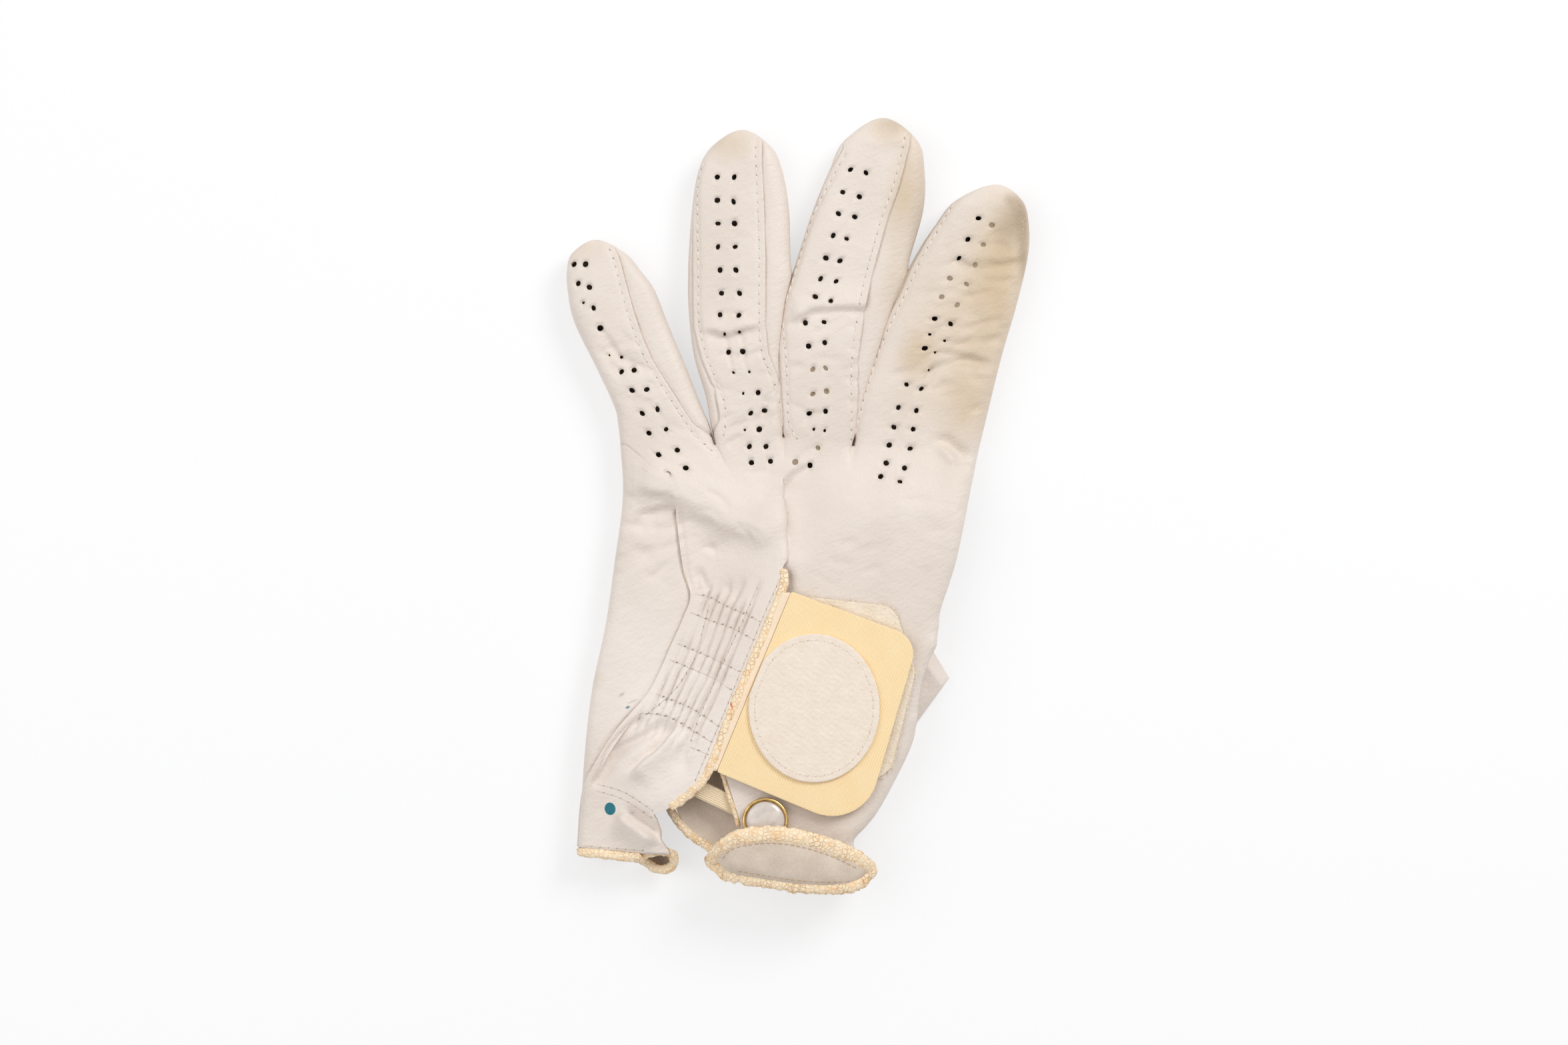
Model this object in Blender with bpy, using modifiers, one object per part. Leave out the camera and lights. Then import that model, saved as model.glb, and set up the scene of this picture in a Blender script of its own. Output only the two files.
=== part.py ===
"""Golf glove for the left hand, lying on its palm with the thumb folded under it.

The sizes below are millimetres, and MM turns them into metres. +X runs to the index finger's side, +Y to
the fingertips and +Z up. The origin is the middle of the glove's footprint, on the ground.
"""

import math
from dataclasses import dataclass

import bmesh
import bpy
import numpy as np
from mathutils import Matrix, Vector

MM = 0.001

# Leather
LEATHER = 0.8
SEAM_GAP = 0.3
FOLD_GAP = 0.7
FINGER_MID = 5.5
FINGER_HALF = 5.5
FINGER_FULL_WIDTH = 11.0
FINGER_CROWN = 1.06
SIDE_STRIP_HALF = 2.4
CROTCH_DIP = 0.2
NOTCH_RADIUS = 0.6
STRIP_COLUMNS = 10

# Hand: the left of the palm lies on the ground, the rest is held up by the folded thumb
GROUND_TOP = 11.0
RAISED_BOTTOM = 7.8
RAISED_TOP = 16.4
HAND_CROWN = 1.25
HAND_POWER = 5
RAISE_FROM = (30.0, -42.0)
RAISE_TO = (2.0, -84.0)
RAISE_REACH = 38.0
RAISE_FADE = 22.0
FLAP_LIFT = 2.2
FLAP_LIFT_REACH = 12.0

# Outlines of the hand, seen from above, as (y, x)
HAND_LEFT = ((17, -50.6), (1.4, -49.9), (-16.7, -52.2), (-34.9, -54.8), (-53, -58.6), (-71.2, -60.7),
             (-101.4, -62.6))
HAND_RIGHT = ((15.4, 51.6), (1.4, 48.6), (-16.7, 44.8), (-30.3, 40.5), (-39.4, 36.7), (-58.7, 33.5),
              (-68, 32.5), (-80.2, 26.8), (-93.9, 18.4), (-99, 19), (-105, 22.3), (-112, 22.3))
WRAP_SEAM = ((17, -50.4), (7.7, -42.5), (-0.7, -33.5), (-26.4, -29.5), (-39.6, -34.4), (-53.4, -41),
             (-65, -50.7), (-73.8, -56.3), (-83, -60.4), (-101.4, -62))
SLIT_LEFT = ((-18.2, -3), (-24.3, -3), (-43, -10.6), (-59.3, -17.4), (-76.3, -24), (-82.5, -28.7),
             (-87.6, -35.3), (-92.5, -39.3), (-101.5, -42.5))
SLIT_RIGHT = ((-18.2, -1.4), (-24.3, -1.6), (-43, -9.2), (-59.3, -16), (-76.3, -22), (-86.9, -19.1),
              (-92, -17.4), (-101, -20))
PALM_WRIST = ((-62.6, -100), (-52, -98.8), (-44, -94.5), (-38, -91.8), (-32, -94.6), (-25.5, -99.8),
              (-13, -105.4), (4, -109.2), (15, -109.2), (22.3, -105))
LEFT_CUFF = ((-62.3, -99.6), (-52, -100.6), (-42.5, -101.2))
LIP = ((-22, -100), (-14.2, -94), (-5, -92.6), (5, -94.2), (15.1, -98.8), (22, -105.4))
LIP_LOW, LIP_RISE = 12.6, 13.6
LIP_FULLNESS = 0.45
LIP_FLAT_TO = 0.5
LIP_BULGE = 10.5
SLIT_EDGE_INSET = 1.9
CUFF_EDGE_INSET = 2.2
PALM_EDGE_INSET = 2.9
HAND_LEVELS = (11.0, 4.0, -4.0, -11.0, -18.2)
FLAP_LEVELS = (-26.0, -34.0, -42.0, -50.0, -58.0, -66.0, -74.0)
WRIST_ROWS = 4
CURL_ROWS = 7
SCALLOP_FADE = 18.0
SLOPE_SPAN = 1.5

# Edge tapes, as rounded beads
BINDING_RADIUS = 1.0
SLIT_BINDING_RADIUS = 0.8
INNER_BINDING_RADIUS = 0.6

# Thumb
THUMB_AXIS = (27.0, -45.0)
THUMB_HOLE_RADIUS = 8.6
PALM_HOLE_RADIUS = 9.2
THUMB_TOP = 7.5
THUMB_HEEL_LEFT = (26.7, -22.5)
THUMB_HEEL_RIGHT = (43.2, -50.2)
THUMB_DIRECTION = (-0.552, -0.834)
THUMB_LENGTH = 60.0
THUMB_TAPER = 0.86

# Elastics
ELASTIC_WIDTH = 5.0
ELASTIC_THICKNESS = 0.6
SHIRR_TAPES = {
    "shirr_elastic_upper": ((-29.0, -29.0), (-10.5, -36.6)),
    "shirr_elastic_middle": ((-34.6, -42.6), (-16.6, -50.8)),
    "shirr_elastic_lower": ((-41.8, -57.4), (-22.8, -65.9)),
}
WRIST_TAPE = ((-40.0, -75.5), (-15.2, -87.2))

# Closure
TAB_CORNERS = ((-1.9, -25.2, 0.5), (34.0, -38.5, 7.0), (18.0, -93.2, 13.0), (-22.9, -76.1, 0.5))
LOOP_CORNERS = ((0.8, -26.6, 1.0), (27.2, -29.4, 6.0), (32.2, -50.0, 5.0), (23.4, -80.5, 7.0),
                (-17.5, -73.5, 1.5), (-1.5, -33.0, 3.0))
HOOK_CORNERS = ((2.0, -29.6, 1.5), (30.5, -40.5, 5.0), (19.0, -82.0, 7.0), (-17.0, -72.8, 1.5))
LOOP_Z = (16.7, 17.4)
HOOK_Z = (17.7, 18.3)
TAB_Z = (18.6, 19.4)
FELT_Z = (19.7, 20.9)
FELT_CENTRE = (4.5, -58.1)
FELT_SIZE = (37.0, 42.0)
TAB_HINGE = ((-2.2, -25.4), (-23.1, -76.0))
TAB_HINGE_Z = 19.7

# Ball marker
MARKER_CENTRE = (-9.2, -89.9)
TURNED_STEPS = 28
RING_PROFILE = ((5.6, 18.95), (6.0, 18.95), (6.45, 18.6), (6.55, 18.2), (6.3, 17.9), (5.6, 17.9))
PEARL_PROFILE = ((0, 20.05), (2.2, 19.95), (4.0, 19.6), (5.2, 19.0), (5.28, 18.2), (0, 18.2))
SOCKET_PROFILE = ((2.2, 17.9), (4.6, 17.9), (4.9, 17.6), (4.9, 17.35), (2.2, 17.35))
STUD_PROFILE = ((0, 17.75), (1.5, 17.75), (1.8, 17.5), (1.6, 17.1), (3.6, 17.0), (3.6, 16.7), (1.6, 16.6),
                (1.6, 14.6), (0, 14.6))
WASHER_PROFILE = ((2.0, 15.2), (3.8, 15.2), (3.8, 14.7), (2.0, 14.7))
STUD_HOLE_RADIUS = 2.0


@dataclass(frozen=True)
class Finger:
    """A finger's outline from above: its base corners, rows of (y, left x, right x), and its tip."""

    name: str
    base: tuple
    rows: tuple
    tip: tuple
    side_strips: tuple

    def edges(self, params):
        """Left and right edge points at params, from 0 at the base to 1 at the tip."""
        left = [self.base[0]] + [(row[1], row[0]) for row in self.rows] + [self.tip]
        right = [self.base[1]] + [(row[2], row[0]) for row in self.rows] + [self.tip]
        return spline(left, params), spline(right, params)

    def params(self):
        """Row positions: one for each outline row, and closer ones where the tip turns round."""
        last = len(self.rows) + 1
        steps = list(range(last)) + [last - 1.5, last - 0.55, last - 0.25, last - 0.08, last]
        return np.array(sorted(steps)) / last


FINGERS = (
    Finger("little", ((-50.6, 17.0), (-24.2, 16.4)),
           ((27, -52.2, -27.0), (37.7, -57.1, -31.6), (51.3, -63.7, -37.2), (60.4, -65.6, -40.8),
            (66, -65.8, -44.8), (71, -64.2, -49.2)), (-57.5, 74.8), (False, True)),
    Finger("ring", ((-22.8, 16.4), (-4.8, 20.4)),
           ((30, -25.5, -6.4), (42.2, -29.7, -6.9), (55.9, -31.2, -5.6), (69.5, -31.2, -2.2),
            (83.1, -30.2, -2.5), (94, -28.4, -4.3), (101.2, -24.6, -7.6)), (-15.9, 106.1), (True, True)),
    Finger("middle", ((-3.6, 20.4), (14.7, 16.0)),
           ((30, -4.6, 16.6), (42.2, -5.4, 20.2), (55.9, -4.2, 24.8), (69.5, -0.2, 31.6),
            (83.1, 4.2, 35.7), (94, 8.7, 36.1), (103, 13.2, 34.0)), (24.2, 109.5), (True, True)),
    Finger("index", ((15.9, 16.0), (51.6, 15.4)),
           ((28.6, 18.0, 54.8), (42.2, 21.8, 58.2), (55.9, 26.6, 62.2), (69.5, 33.1, 65.4),
            (78.5, 38.8, 65.8), (86, 45.0, 63.8)), (56.3, 90.5), (True, False)),
)


def spline(points, params):
    """Catmull-Rom curve through the points, read at params from 0 to 1."""
    pts = np.asarray(points, float)
    ends = np.vstack([2 * pts[0] - pts[1], pts, 2 * pts[-1] - pts[-2]])
    place = np.clip(np.asarray(params, float), 0, 1) * (len(pts) - 1)
    index = np.minimum(place.astype(int), len(pts) - 2)
    t = (place - index)[:, None]
    p0, p1, p2, p3 = (ends[index + k] for k in range(4))
    curve = 2 * p1 + (p2 - p0) * t + (2 * p0 - 5 * p1 + 4 * p2 - p3) * t**2
    return 0.5 * (curve + (3 * p1 - p0 - 3 * p2 + p3) * t**3)


def along(outline, at):
    """Second value of an outline's points where the first value is at."""
    table = np.array(sorted(outline), float)
    return np.interp(at, table[:, 0], table[:, 1])


def beside(outline, at, distance):
    """Like along, for a line at a distance from the outline, measured square to it."""
    slope = (along(outline, at + SLOPE_SPAN) - along(outline, at - SLOPE_SPAN)) / (2 * SLOPE_SPAN)
    return along(outline, at) + distance * np.sqrt(1 + slope**2)


def smoothstep(t):
    t = np.clip(t, 0, 1)
    return t * t * (3 - 2 * t)


def raised(x, y):
    """How far the hand is held up by the folded thumb, from 0 to 1."""
    start, end = np.array(RAISE_FROM), np.array(RAISE_TO)
    run = end - start
    t = np.clip(((x - start[0]) * run[0] + (y - start[1]) * run[1]) / (run @ run), 0, 1)
    distance = np.hypot(x - start[0] - t * run[0], y - start[1] - t * run[1])
    return 1 - smoothstep((distance - RAISE_REACH) / RAISE_FADE)


def hand_middle(x, y):
    lift = raised(x, y)
    return (RAISED_BOTTOM * lift + GROUND_TOP + (RAISED_TOP - GROUND_TOP) * lift) / 2


def hand_height(x, y, side):
    """Height of the hand's outer leather: side is 1 for the back and -1 for the palm."""
    lift = raised(x, y)
    half = (GROUND_TOP + (RAISED_TOP - GROUND_TOP - RAISED_BOTTOM) * lift) / 2
    left, right = along(HAND_LEFT, y), along(HAND_RIGHT, y)
    across = np.clip(np.abs((2 * x - left - right) / (right - left)), 0, 1)
    swell = HAND_CROWN * (1 - across**HAND_POWER) ** (1 / HAND_POWER)
    return hand_middle(x, y) + side * half * np.minimum(1, swell)


def left_flap_height(x, y):
    """Height of the gathered flap, which lies a little higher along the slit than the right flap."""
    reach = np.clip((along(SLIT_LEFT, y) - x) / FLAP_LIFT_REACH, 0, None)
    start = smoothstep((HAND_LEVELS[-1] - y) / 6)
    end = smoothstep((y + 92) / 14)
    return hand_height(x, y, 1) + FLAP_LIFT * start * end * np.exp(-reach**2)


def strip_half(finger, params):
    """Half height of the side strips along a finger: they taper out towards the tip."""
    last = len(finger.rows) / (len(finger.rows) + 1)
    return SIDE_STRIP_HALF * np.clip((last - params) / (0.3 * last), 0, 1) ** 0.7


def finger_strip(finger, side):
    """Grid of points over the top (side 1) or the underside (side -1) of a finger, base row first."""
    params = finger.params()
    left, right = finger.edges(params)
    half_width = np.linalg.norm(right - left, axis=1) / 2
    half_height = FINGER_HALF * np.minimum(1, half_width / FINGER_FULL_WIDTH) ** 0.5
    strip = strip_half(finger, params)
    rows = []
    for i in range(len(params)):
        if half_width[i] < 1e-6:
            point = (*left[i], FINGER_MID + side * SEAM_GAP / 2)
            rows.append(np.tile(point, (STRIP_COLUMNS + 1, 1)))
            continue
        seams = [strip[i] * has + (SEAM_GAP if has and strip[i] > 0 else SEAM_GAP / 2)
                 for has in finger.side_strips]
        starts = [math.asin(min(0.9, seam / half_height[i]) ** 2) for seam in seams]
        turn = np.linspace(math.pi - starts[0], starts[1], STRIP_COLUMNS + 1)
        across = np.sign(np.cos(turn)) * np.abs(np.cos(turn)) ** 0.5
        rise = np.minimum(1, FINGER_CROWN * np.sin(turn) ** 0.5)
        flat = (left[i] + right[i]) / 2 + across[:, None] * (right[i] - left[i]) / 2
        rows.append(np.column_stack([flat, FINGER_MID + side * half_height[i] * rise]))
    return np.array(rows)


def scalloped(rows, base, side, height):
    """Adds the finger bases' swelling to the hand's rows, fading out towards the wrist."""
    swell = base[:, 2] - height(base[:, 0], base[:, 1])
    for row in rows:
        fade = np.clip(1 - (base[:, 1] - row[:, 1]) / SCALLOP_FADE, 0, 1) ** 2
        row[:, 2] += swell * fade
    return rows


def fractions(base):
    return (base[:, 0] - base[0, 0]) / (base[-1, 0] - base[0, 0])


def level_rows(levels, share, left, right, height):
    """Rows of points at the given y levels, between two outlines."""
    rows = []
    for y in levels:
        ends = left(y), right(y)
        x = ends[0] + share * (ends[1] - ends[0])
        rows.append(np.column_stack([x, np.full_like(x, y), height(x, np.full_like(x, y))]))
    return rows


def wrap_edge(y):
    return along(WRAP_SEAM, y) + SEAM_GAP / 2


def slit_left_edge(y):
    return beside(SLIT_LEFT, y, -SLIT_EDGE_INSET)


def slit_right_edge(y):
    return beside(SLIT_RIGHT, y, SLIT_EDGE_INSET)


def hand_left_edge(y):
    return along(HAND_LEFT, y)


def hand_right_edge(y):
    return along(HAND_RIGHT, y)


def cuff_rows(top, bottom, count):
    """Rows that lead from a level row to the wrist edge."""
    return [top + (bottom - top) * (i + 1) / count for i in range(count)]


def back_height(x, y):
    return hand_height(x, y, 1)


def palm_height(x, y):
    return hand_height(x, y, -1)


def left_flap(base):
    """Grid of the back's gathered half, from the knuckles to the left cuff."""
    share = fractions(base)
    rows = level_rows(HAND_LEVELS, share, wrap_edge, slit_left_edge, back_height)
    rows += level_rows(FLAP_LEVELS, share, wrap_edge, slit_left_edge, left_flap_height)
    cuff_x = along(WRAP_SEAM, -101.0) + share * (slit_left_edge(-101.0) - along(WRAP_SEAM, -101.0))
    cuff_y = beside(LEFT_CUFF, cuff_x, CUFF_EDGE_INSET)
    cuff = np.column_stack([cuff_x, cuff_y, left_flap_height(cuff_x, cuff_y)])
    for flat in cuff_rows(rows[-1], cuff, WRIST_ROWS + 1):
        limit = slit_left_edge(flat[:, 1])
        flat[:, 0] = wrap_edge(flat[:, 1]) + share * (limit - wrap_edge(flat[:, 1]))
        flat[:, 2] = left_flap_height(flat[:, 0], flat[:, 1])
        rows.append(flat)
    return np.array([base] + scalloped(rows, base, 1, back_height))


def lip_swell(share):
    """How strongly the lip flares, from 0 at its corners to 1 in its middle."""
    return np.sin(math.pi * np.clip(share, 0, 1)) ** LIP_FULLNESS


def lip_edge(share):
    """Wrist edge of the right flap, flared up in its middle."""
    edge = spline(LIP, share)
    height = LIP_LOW + LIP_RISE * lip_swell(share)
    return np.column_stack([edge, height])


def lip_curl(share, params):
    """Rows of the right flap from its flat part out and up into the flared lip."""
    edge = lip_edge(share)
    curl = lip_swell(share)[:, None]
    start = edge.copy()
    start[:, 1] += LIP_FLAT_TO * curl[:, 0] + 6 * (1 - curl[:, 0])
    start[:, 0] = slit_right_edge(start[:, 1])
    start[:, 0] += share * (hand_right_edge(start[:, 1]) - start[:, 0])
    start[:, 2] = back_height(start[:, 0], start[:, 1])
    out = edge + (start - edge) * 0.5 * (1 - curl)
    out[:, 1] -= LIP_BULGE * curl[:, 0]
    up = out.copy()
    out[:, 2] = start[:, 2] + (edge[:, 2] - start[:, 2]) * 0.4 * (1 - curl[:, 0])
    up[:, 2] = edge[:, 2] - 1.5 * curl[:, 0]
    return [start * (1 - t) ** 3 + out * 3 * t * (1 - t) ** 2 + up * 3 * t**2 * (1 - t) + edge * t**3
            for t in params]


def right_flap(base):
    """Grid of the back's plain half, from the knuckles to the flared lip."""
    share = fractions(base)
    rows = level_rows(HAND_LEVELS, share, slit_right_edge, hand_right_edge, back_height)
    rows += level_rows(FLAP_LEVELS, share, slit_right_edge, hand_right_edge, back_height)
    curl = lip_curl(share, np.linspace(0, 1, CURL_ROWS + 1))
    for flat in cuff_rows(rows[-1], curl[0], WRIST_ROWS):
        ends = slit_right_edge(flat[:, 1]), hand_right_edge(flat[:, 1])
        flat[:, 0] = ends[0] + share * (ends[1] - ends[0])
        flat[:, 2] = back_height(flat[:, 0], flat[:, 1])
        rows.append(flat)
    rows += curl[1:]
    for row in rows:
        row[-1, 2] += FOLD_GAP / 2
    return np.array([base] + scalloped(rows, base, 1, back_height))


def back_grids():
    """Grids of the back panel: four fingers, the two flaps, and the webs between the fingers."""
    strips = [finger_strip(finger, 1) for finger in FINGERS]
    left = left_flap(np.vstack([strips[0][0], strips[1][0]]))
    right = right_flap(np.vstack([strips[2][0], strips[3][0]]))
    web_rows = len(HAND_LEVELS) + 1
    web = np.stack([left[:web_rows, -1], right[:web_rows, 0]], axis=1)
    return [strip for strip in strips] + [grid[::-1] for grid in (left, right, web)]


def palm_grids():
    """Grids of the palm panel: finger undersides, the palm, and its wrap onto the back."""
    strips = [finger_strip(finger, -1) for finger in FINGERS]
    base = np.vstack([strip[0] for strip in strips])
    share = fractions(base)
    rows = level_rows(HAND_LEVELS + FLAP_LEVELS, share, hand_left_edge, hand_right_edge, palm_height)
    wrist_x = rows[-1][:, 0] + (hand_left_edge(-100) - hand_left_edge(-74)) * (1 - share)
    wrist_x += (hand_right_edge(-105) - hand_right_edge(-74)) * share
    wrist_y = beside(PALM_WRIST, wrist_x, PALM_EDGE_INSET)
    wrist = np.column_stack([wrist_x, wrist_y, np.zeros_like(wrist_x)])
    for flat in cuff_rows(rows[-1], wrist, WRIST_ROWS + 1):
        ends = hand_left_edge(flat[:, 1]), hand_right_edge(flat[:, 1])
        flat[:, 0] = ends[0] + share * (ends[1] - ends[0])
        flat[:, 2] = palm_height(flat[:, 0], flat[:, 1])
        rows.append(flat)
    for row in rows:
        row[-1, 2] -= FOLD_GAP / 2
    palm = np.array([base] + scalloped(rows, base, -1, palm_height))
    wrap = []
    steps = np.linspace(0, 1, 6) ** 2
    for row in palm:
        edge = row[0]
        end = max(along(WRAP_SEAM, edge[1]) - SEAM_GAP / 2, edge[0] + 0.2)
        x = edge[0] + steps * (end - edge[0])
        y = np.full_like(x, edge[1])
        strip = np.column_stack([x, y, left_flap_height(x, y)])
        strip[0] = edge
        wrap.append(strip)
    wrap[0] = np.tile(palm[0][0], (len(steps), 1))
    grids = [grid[:, ::-1] for grid in strips]
    return grids + [palm[::-1, ::-1], np.array(wrap)[::-1]]


def side_strip(first, second):
    """Grid of the strip that runs down one finger's side, round the crotch and up the next finger."""
    path, half = [], []
    for finger, edge in ((second, 0), (first, 1)):
        params = finger.params()
        params = params[strip_half(finger, params) > 0.3]
        points = finger.edges(params)[edge]
        heights = strip_half(finger, params) * (1 - CROTCH_DIP * (1 - smoothstep(params / 0.2)))
        order = slice(None, None, -1) if edge == 0 else slice(None)
        path.append(points[order])
        half.append(heights[order])
    middle = (path[0][-1] + path[1][0]) / 2
    turn = np.linspace(0, math.pi, 5)[1:-1]
    arc = np.column_stack([middle[0] + NOTCH_RADIUS * np.cos(turn), middle[1] - NOTCH_RADIUS * np.sin(turn)])
    points = np.vstack([path[0], arc, path[1]])
    heights = np.concatenate([half[0], np.full(len(arc), half[1][0]), half[1]])
    rows = [np.column_stack([points, FINGER_MID + part * heights]) for part in (-1, 0, 1)]
    return np.array(rows)


def thumb_grid():
    """Closed rings of the thumb stall, from its folded heel to its tip."""
    direction = np.array(THUMB_DIRECTION)
    across = np.array((-direction[1], direction[0]))
    heel_left, heel_right = np.array(THUMB_HEEL_LEFT), np.array(THUMB_HEEL_RIGHT)
    lean = (heel_left - heel_right) @ direction / 2
    half_width = abs((heel_left - heel_right) @ across) / 2
    root = (heel_left + heel_right) / 2
    side = np.sign((heel_right - root) @ across)
    turn = np.linspace(0, 2 * math.pi, 21)
    shape_x = np.sign(np.cos(turn)) * np.abs(np.cos(turn)) ** 0.5
    shape_z = np.sign(np.sin(turn)) * np.abs(np.sin(turn)) ** 0.5
    rings = []
    for t in (0, 0.03, 0.1, 0.2, 0.35, 0.5, 0.65, 0.78, 0.88, 0.95, 0.985):
        round_off = math.sqrt(max(0.0, 1 - max(0.0, (t - 0.72) / 0.28) ** 2))
        width = half_width * (1 - (1 - THUMB_TAPER) * t) * (0.04 + 0.96 * round_off)
        height = THUMB_TOP / 2 * min(1.0, 0.16 + 12 * t) * (0.15 + 0.85 * round_off**0.5)
        skew = lean * max(0.0, 1 - t / 0.5)
        centre = root + direction * THUMB_LENGTH * t
        offset = shape_x[:, None] * (across * side * width - direction * skew)
        flat = centre + offset
        rings.append(np.column_stack([flat, THUMB_TOP / 2 + height * np.clip(1.05 * shape_z, -1, 1)]))
    return np.array(rings)


def ribbon(start, end, height):
    """Grid of a flat tape between two points, following a surface."""
    start, end = np.array(start), np.array(end)
    run = (end - start) / np.linalg.norm(end - start)
    across = np.array((-run[1], run[0])) * ELASTIC_WIDTH / 2
    rows = []
    for side in (-1, 1):
        line = start + side * across + np.linspace(0, 1, 9)[:, None] * (end - start)
        rows.append(np.column_stack([line, height(line[:, 0], line[:, 1])]))
    return np.array(rows)


def material(name, colour, roughness, metallic=0.0):
    found = bpy.data.materials.get(name)
    if found:
        return found
    made = bpy.data.materials.new(name)
    made.use_nodes = True
    shader = made.node_tree.nodes["Principled BSDF"]
    shader.inputs["Base Color"].default_value = (*colour, 1)
    shader.inputs["Roughness"].default_value = roughness
    shader.inputs["Metallic"].default_value = metallic
    return made


def add_object(name, data, surface, collection):
    data.materials.append(surface)
    made = bpy.data.objects.new(name, data)
    collection.objects.link(made)
    return made


def sheet(name, grids, thickness, surface, collection, close_ends=False):
    """One sewn piece: grids of points welded along their shared edges and thickened inwards."""
    mesh = bpy.data.meshes.new(name)
    bm = bmesh.new()
    for grid in grids:
        rows, columns = grid.shape[:2]
        made = bmesh.ops.create_grid(bm, x_segments=columns - 1, y_segments=rows - 1, size=1)
        for vert in made["verts"]:
            row = round((vert.co.y + 1) / 2 * (rows - 1))
            column = round((vert.co.x + 1) / 2 * (columns - 1))
            vert.co = Vector(grid[row, column]) * MM
    bmesh.ops.remove_doubles(bm, verts=bm.verts, dist=0.02 * MM)
    if close_ends:
        bmesh.ops.holes_fill(bm, edges=bm.edges, sides=0)
        bmesh.ops.recalc_face_normals(bm, faces=bm.faces)
    bm.to_mesh(mesh)
    bm.free()
    mesh.shade_smooth()
    made = add_object(name, mesh, surface, collection)
    shell = made.modifiers.new("leather", "SOLIDIFY")
    shell.thickness = thickness * MM
    shell.offset = -1
    return made


def bead(name, points, radius, surface, collection):
    """A rounded edge tape along a line of points."""
    curve = bpy.data.curves.new(name, "CURVE")
    curve.dimensions = "3D"
    curve.bevel_depth = radius * MM
    curve.bevel_resolution = 2
    curve.use_fill_caps = True
    line = curve.splines.new("POLY")
    line.points.add(len(points) - 1)
    for knot, point in zip(line.points, points):
        knot.co = (*(Vector(point) * MM), 1)
    return add_object(name, curve, surface, collection)


def rounded_outline(corners):
    """Outline with each corner (x, y, radius) rounded by an arc."""
    outline = []
    for i, corner in enumerate(corners):
        point = np.array(corner[:2])
        before = np.array(corners[i - 1][:2]) - point
        after = np.array(corners[(i + 1) % len(corners)][:2]) - point
        before, after = before / np.linalg.norm(before), after / np.linalg.norm(after)
        half = math.acos(float(np.clip(before @ after, -1, 1))) / 2
        reach = corner[2] / math.tan(half)
        centre = point + (before + after) / np.linalg.norm(before + after) * corner[2] / math.sin(half)
        first = point + before * reach - centre
        sweep = math.pi - 2 * half
        turn = np.sign(before[0] * after[1] - before[1] * after[0])
        for t in np.linspace(0, 1, 6):
            spin = -turn * sweep * t
            rotation = np.array(((math.cos(spin), -math.sin(spin)), (math.sin(spin), math.cos(spin))))
            outline.append(centre + rotation @ first)
    return outline


def plate(name, outline, heights, surface, collection):
    """A flat piece cut to an outline."""
    curve = bpy.data.curves.new(name, "CURVE")
    curve.dimensions = "2D"
    curve.fill_mode = "BOTH"
    curve.extrude = (heights[1] - heights[0]) / 2 * MM
    line = curve.splines.new("POLY")
    line.points.add(len(outline) - 1)
    for knot, point in zip(line.points, outline):
        knot.co = (point[0] * MM, point[1] * MM, 0, 1)
    line.use_cyclic_u = True
    made = add_object(name, curve, surface, collection)
    made.location.z = sum(heights) / 2 * MM
    return made


def turned(name, profile, centre, surface, collection):
    """A turned piece: a profile from top to bottom, spun about a vertical axis."""
    mesh = bpy.data.meshes.new(name)
    points = [(x * MM, 0, z * MM) for x, z in profile]
    edges = [(i, i + 1) for i in range(len(points) - 1)]
    if profile[0][0] > 0:
        edges.append((len(points) - 1, 0))
    mesh.from_pydata(points, edges, [])
    made = add_object(name, mesh, surface, collection)
    made.location = (centre[0] * MM, centre[1] * MM, 0)
    spin = made.modifiers.new("turn", "SCREW")
    spin.steps = TURNED_STEPS
    spin.render_steps = TURNED_STEPS
    spin.use_merge_vertices = True
    spin.merge_threshold = 0.00002
    return made


def cut_round(target, centre, radius, heights, cutters):
    """Cuts an upright round hole through a piece."""
    mesh = bpy.data.meshes.new(target.name + "_hole")
    bm = bmesh.new()
    place = Matrix.Translation(Vector((centre[0], centre[1], sum(heights) / 2)) * MM)
    bmesh.ops.create_cone(bm, cap_ends=True, segments=TURNED_STEPS, radius1=radius * MM, radius2=radius * MM,
                          depth=(heights[1] - heights[0]) * MM, matrix=place)
    bm.to_mesh(mesh)
    bm.free()
    cutter = bpy.data.objects.new(mesh.name, mesh)
    cutters.objects.link(cutter)
    cutter.hide_render = True
    cutter.display_type = "WIRE"
    cut = target.modifiers.new("hole", "BOOLEAN")
    cut.operation = "DIFFERENCE"
    cut.object = cutter


def hang_on(pieces, name, place, collection):
    """Parents moving pieces to an empty on their joint's axis."""
    pivot = bpy.data.objects.new(name, None)
    pivot.location = Vector(place) * MM
    pivot.empty_display_size = 0.01
    collection.objects.link(pivot)
    bpy.context.view_layer.update()
    for piece in pieces:
        piece.parent = pivot
        piece.matrix_parent_inverse = pivot.matrix_world.inverted()


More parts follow.
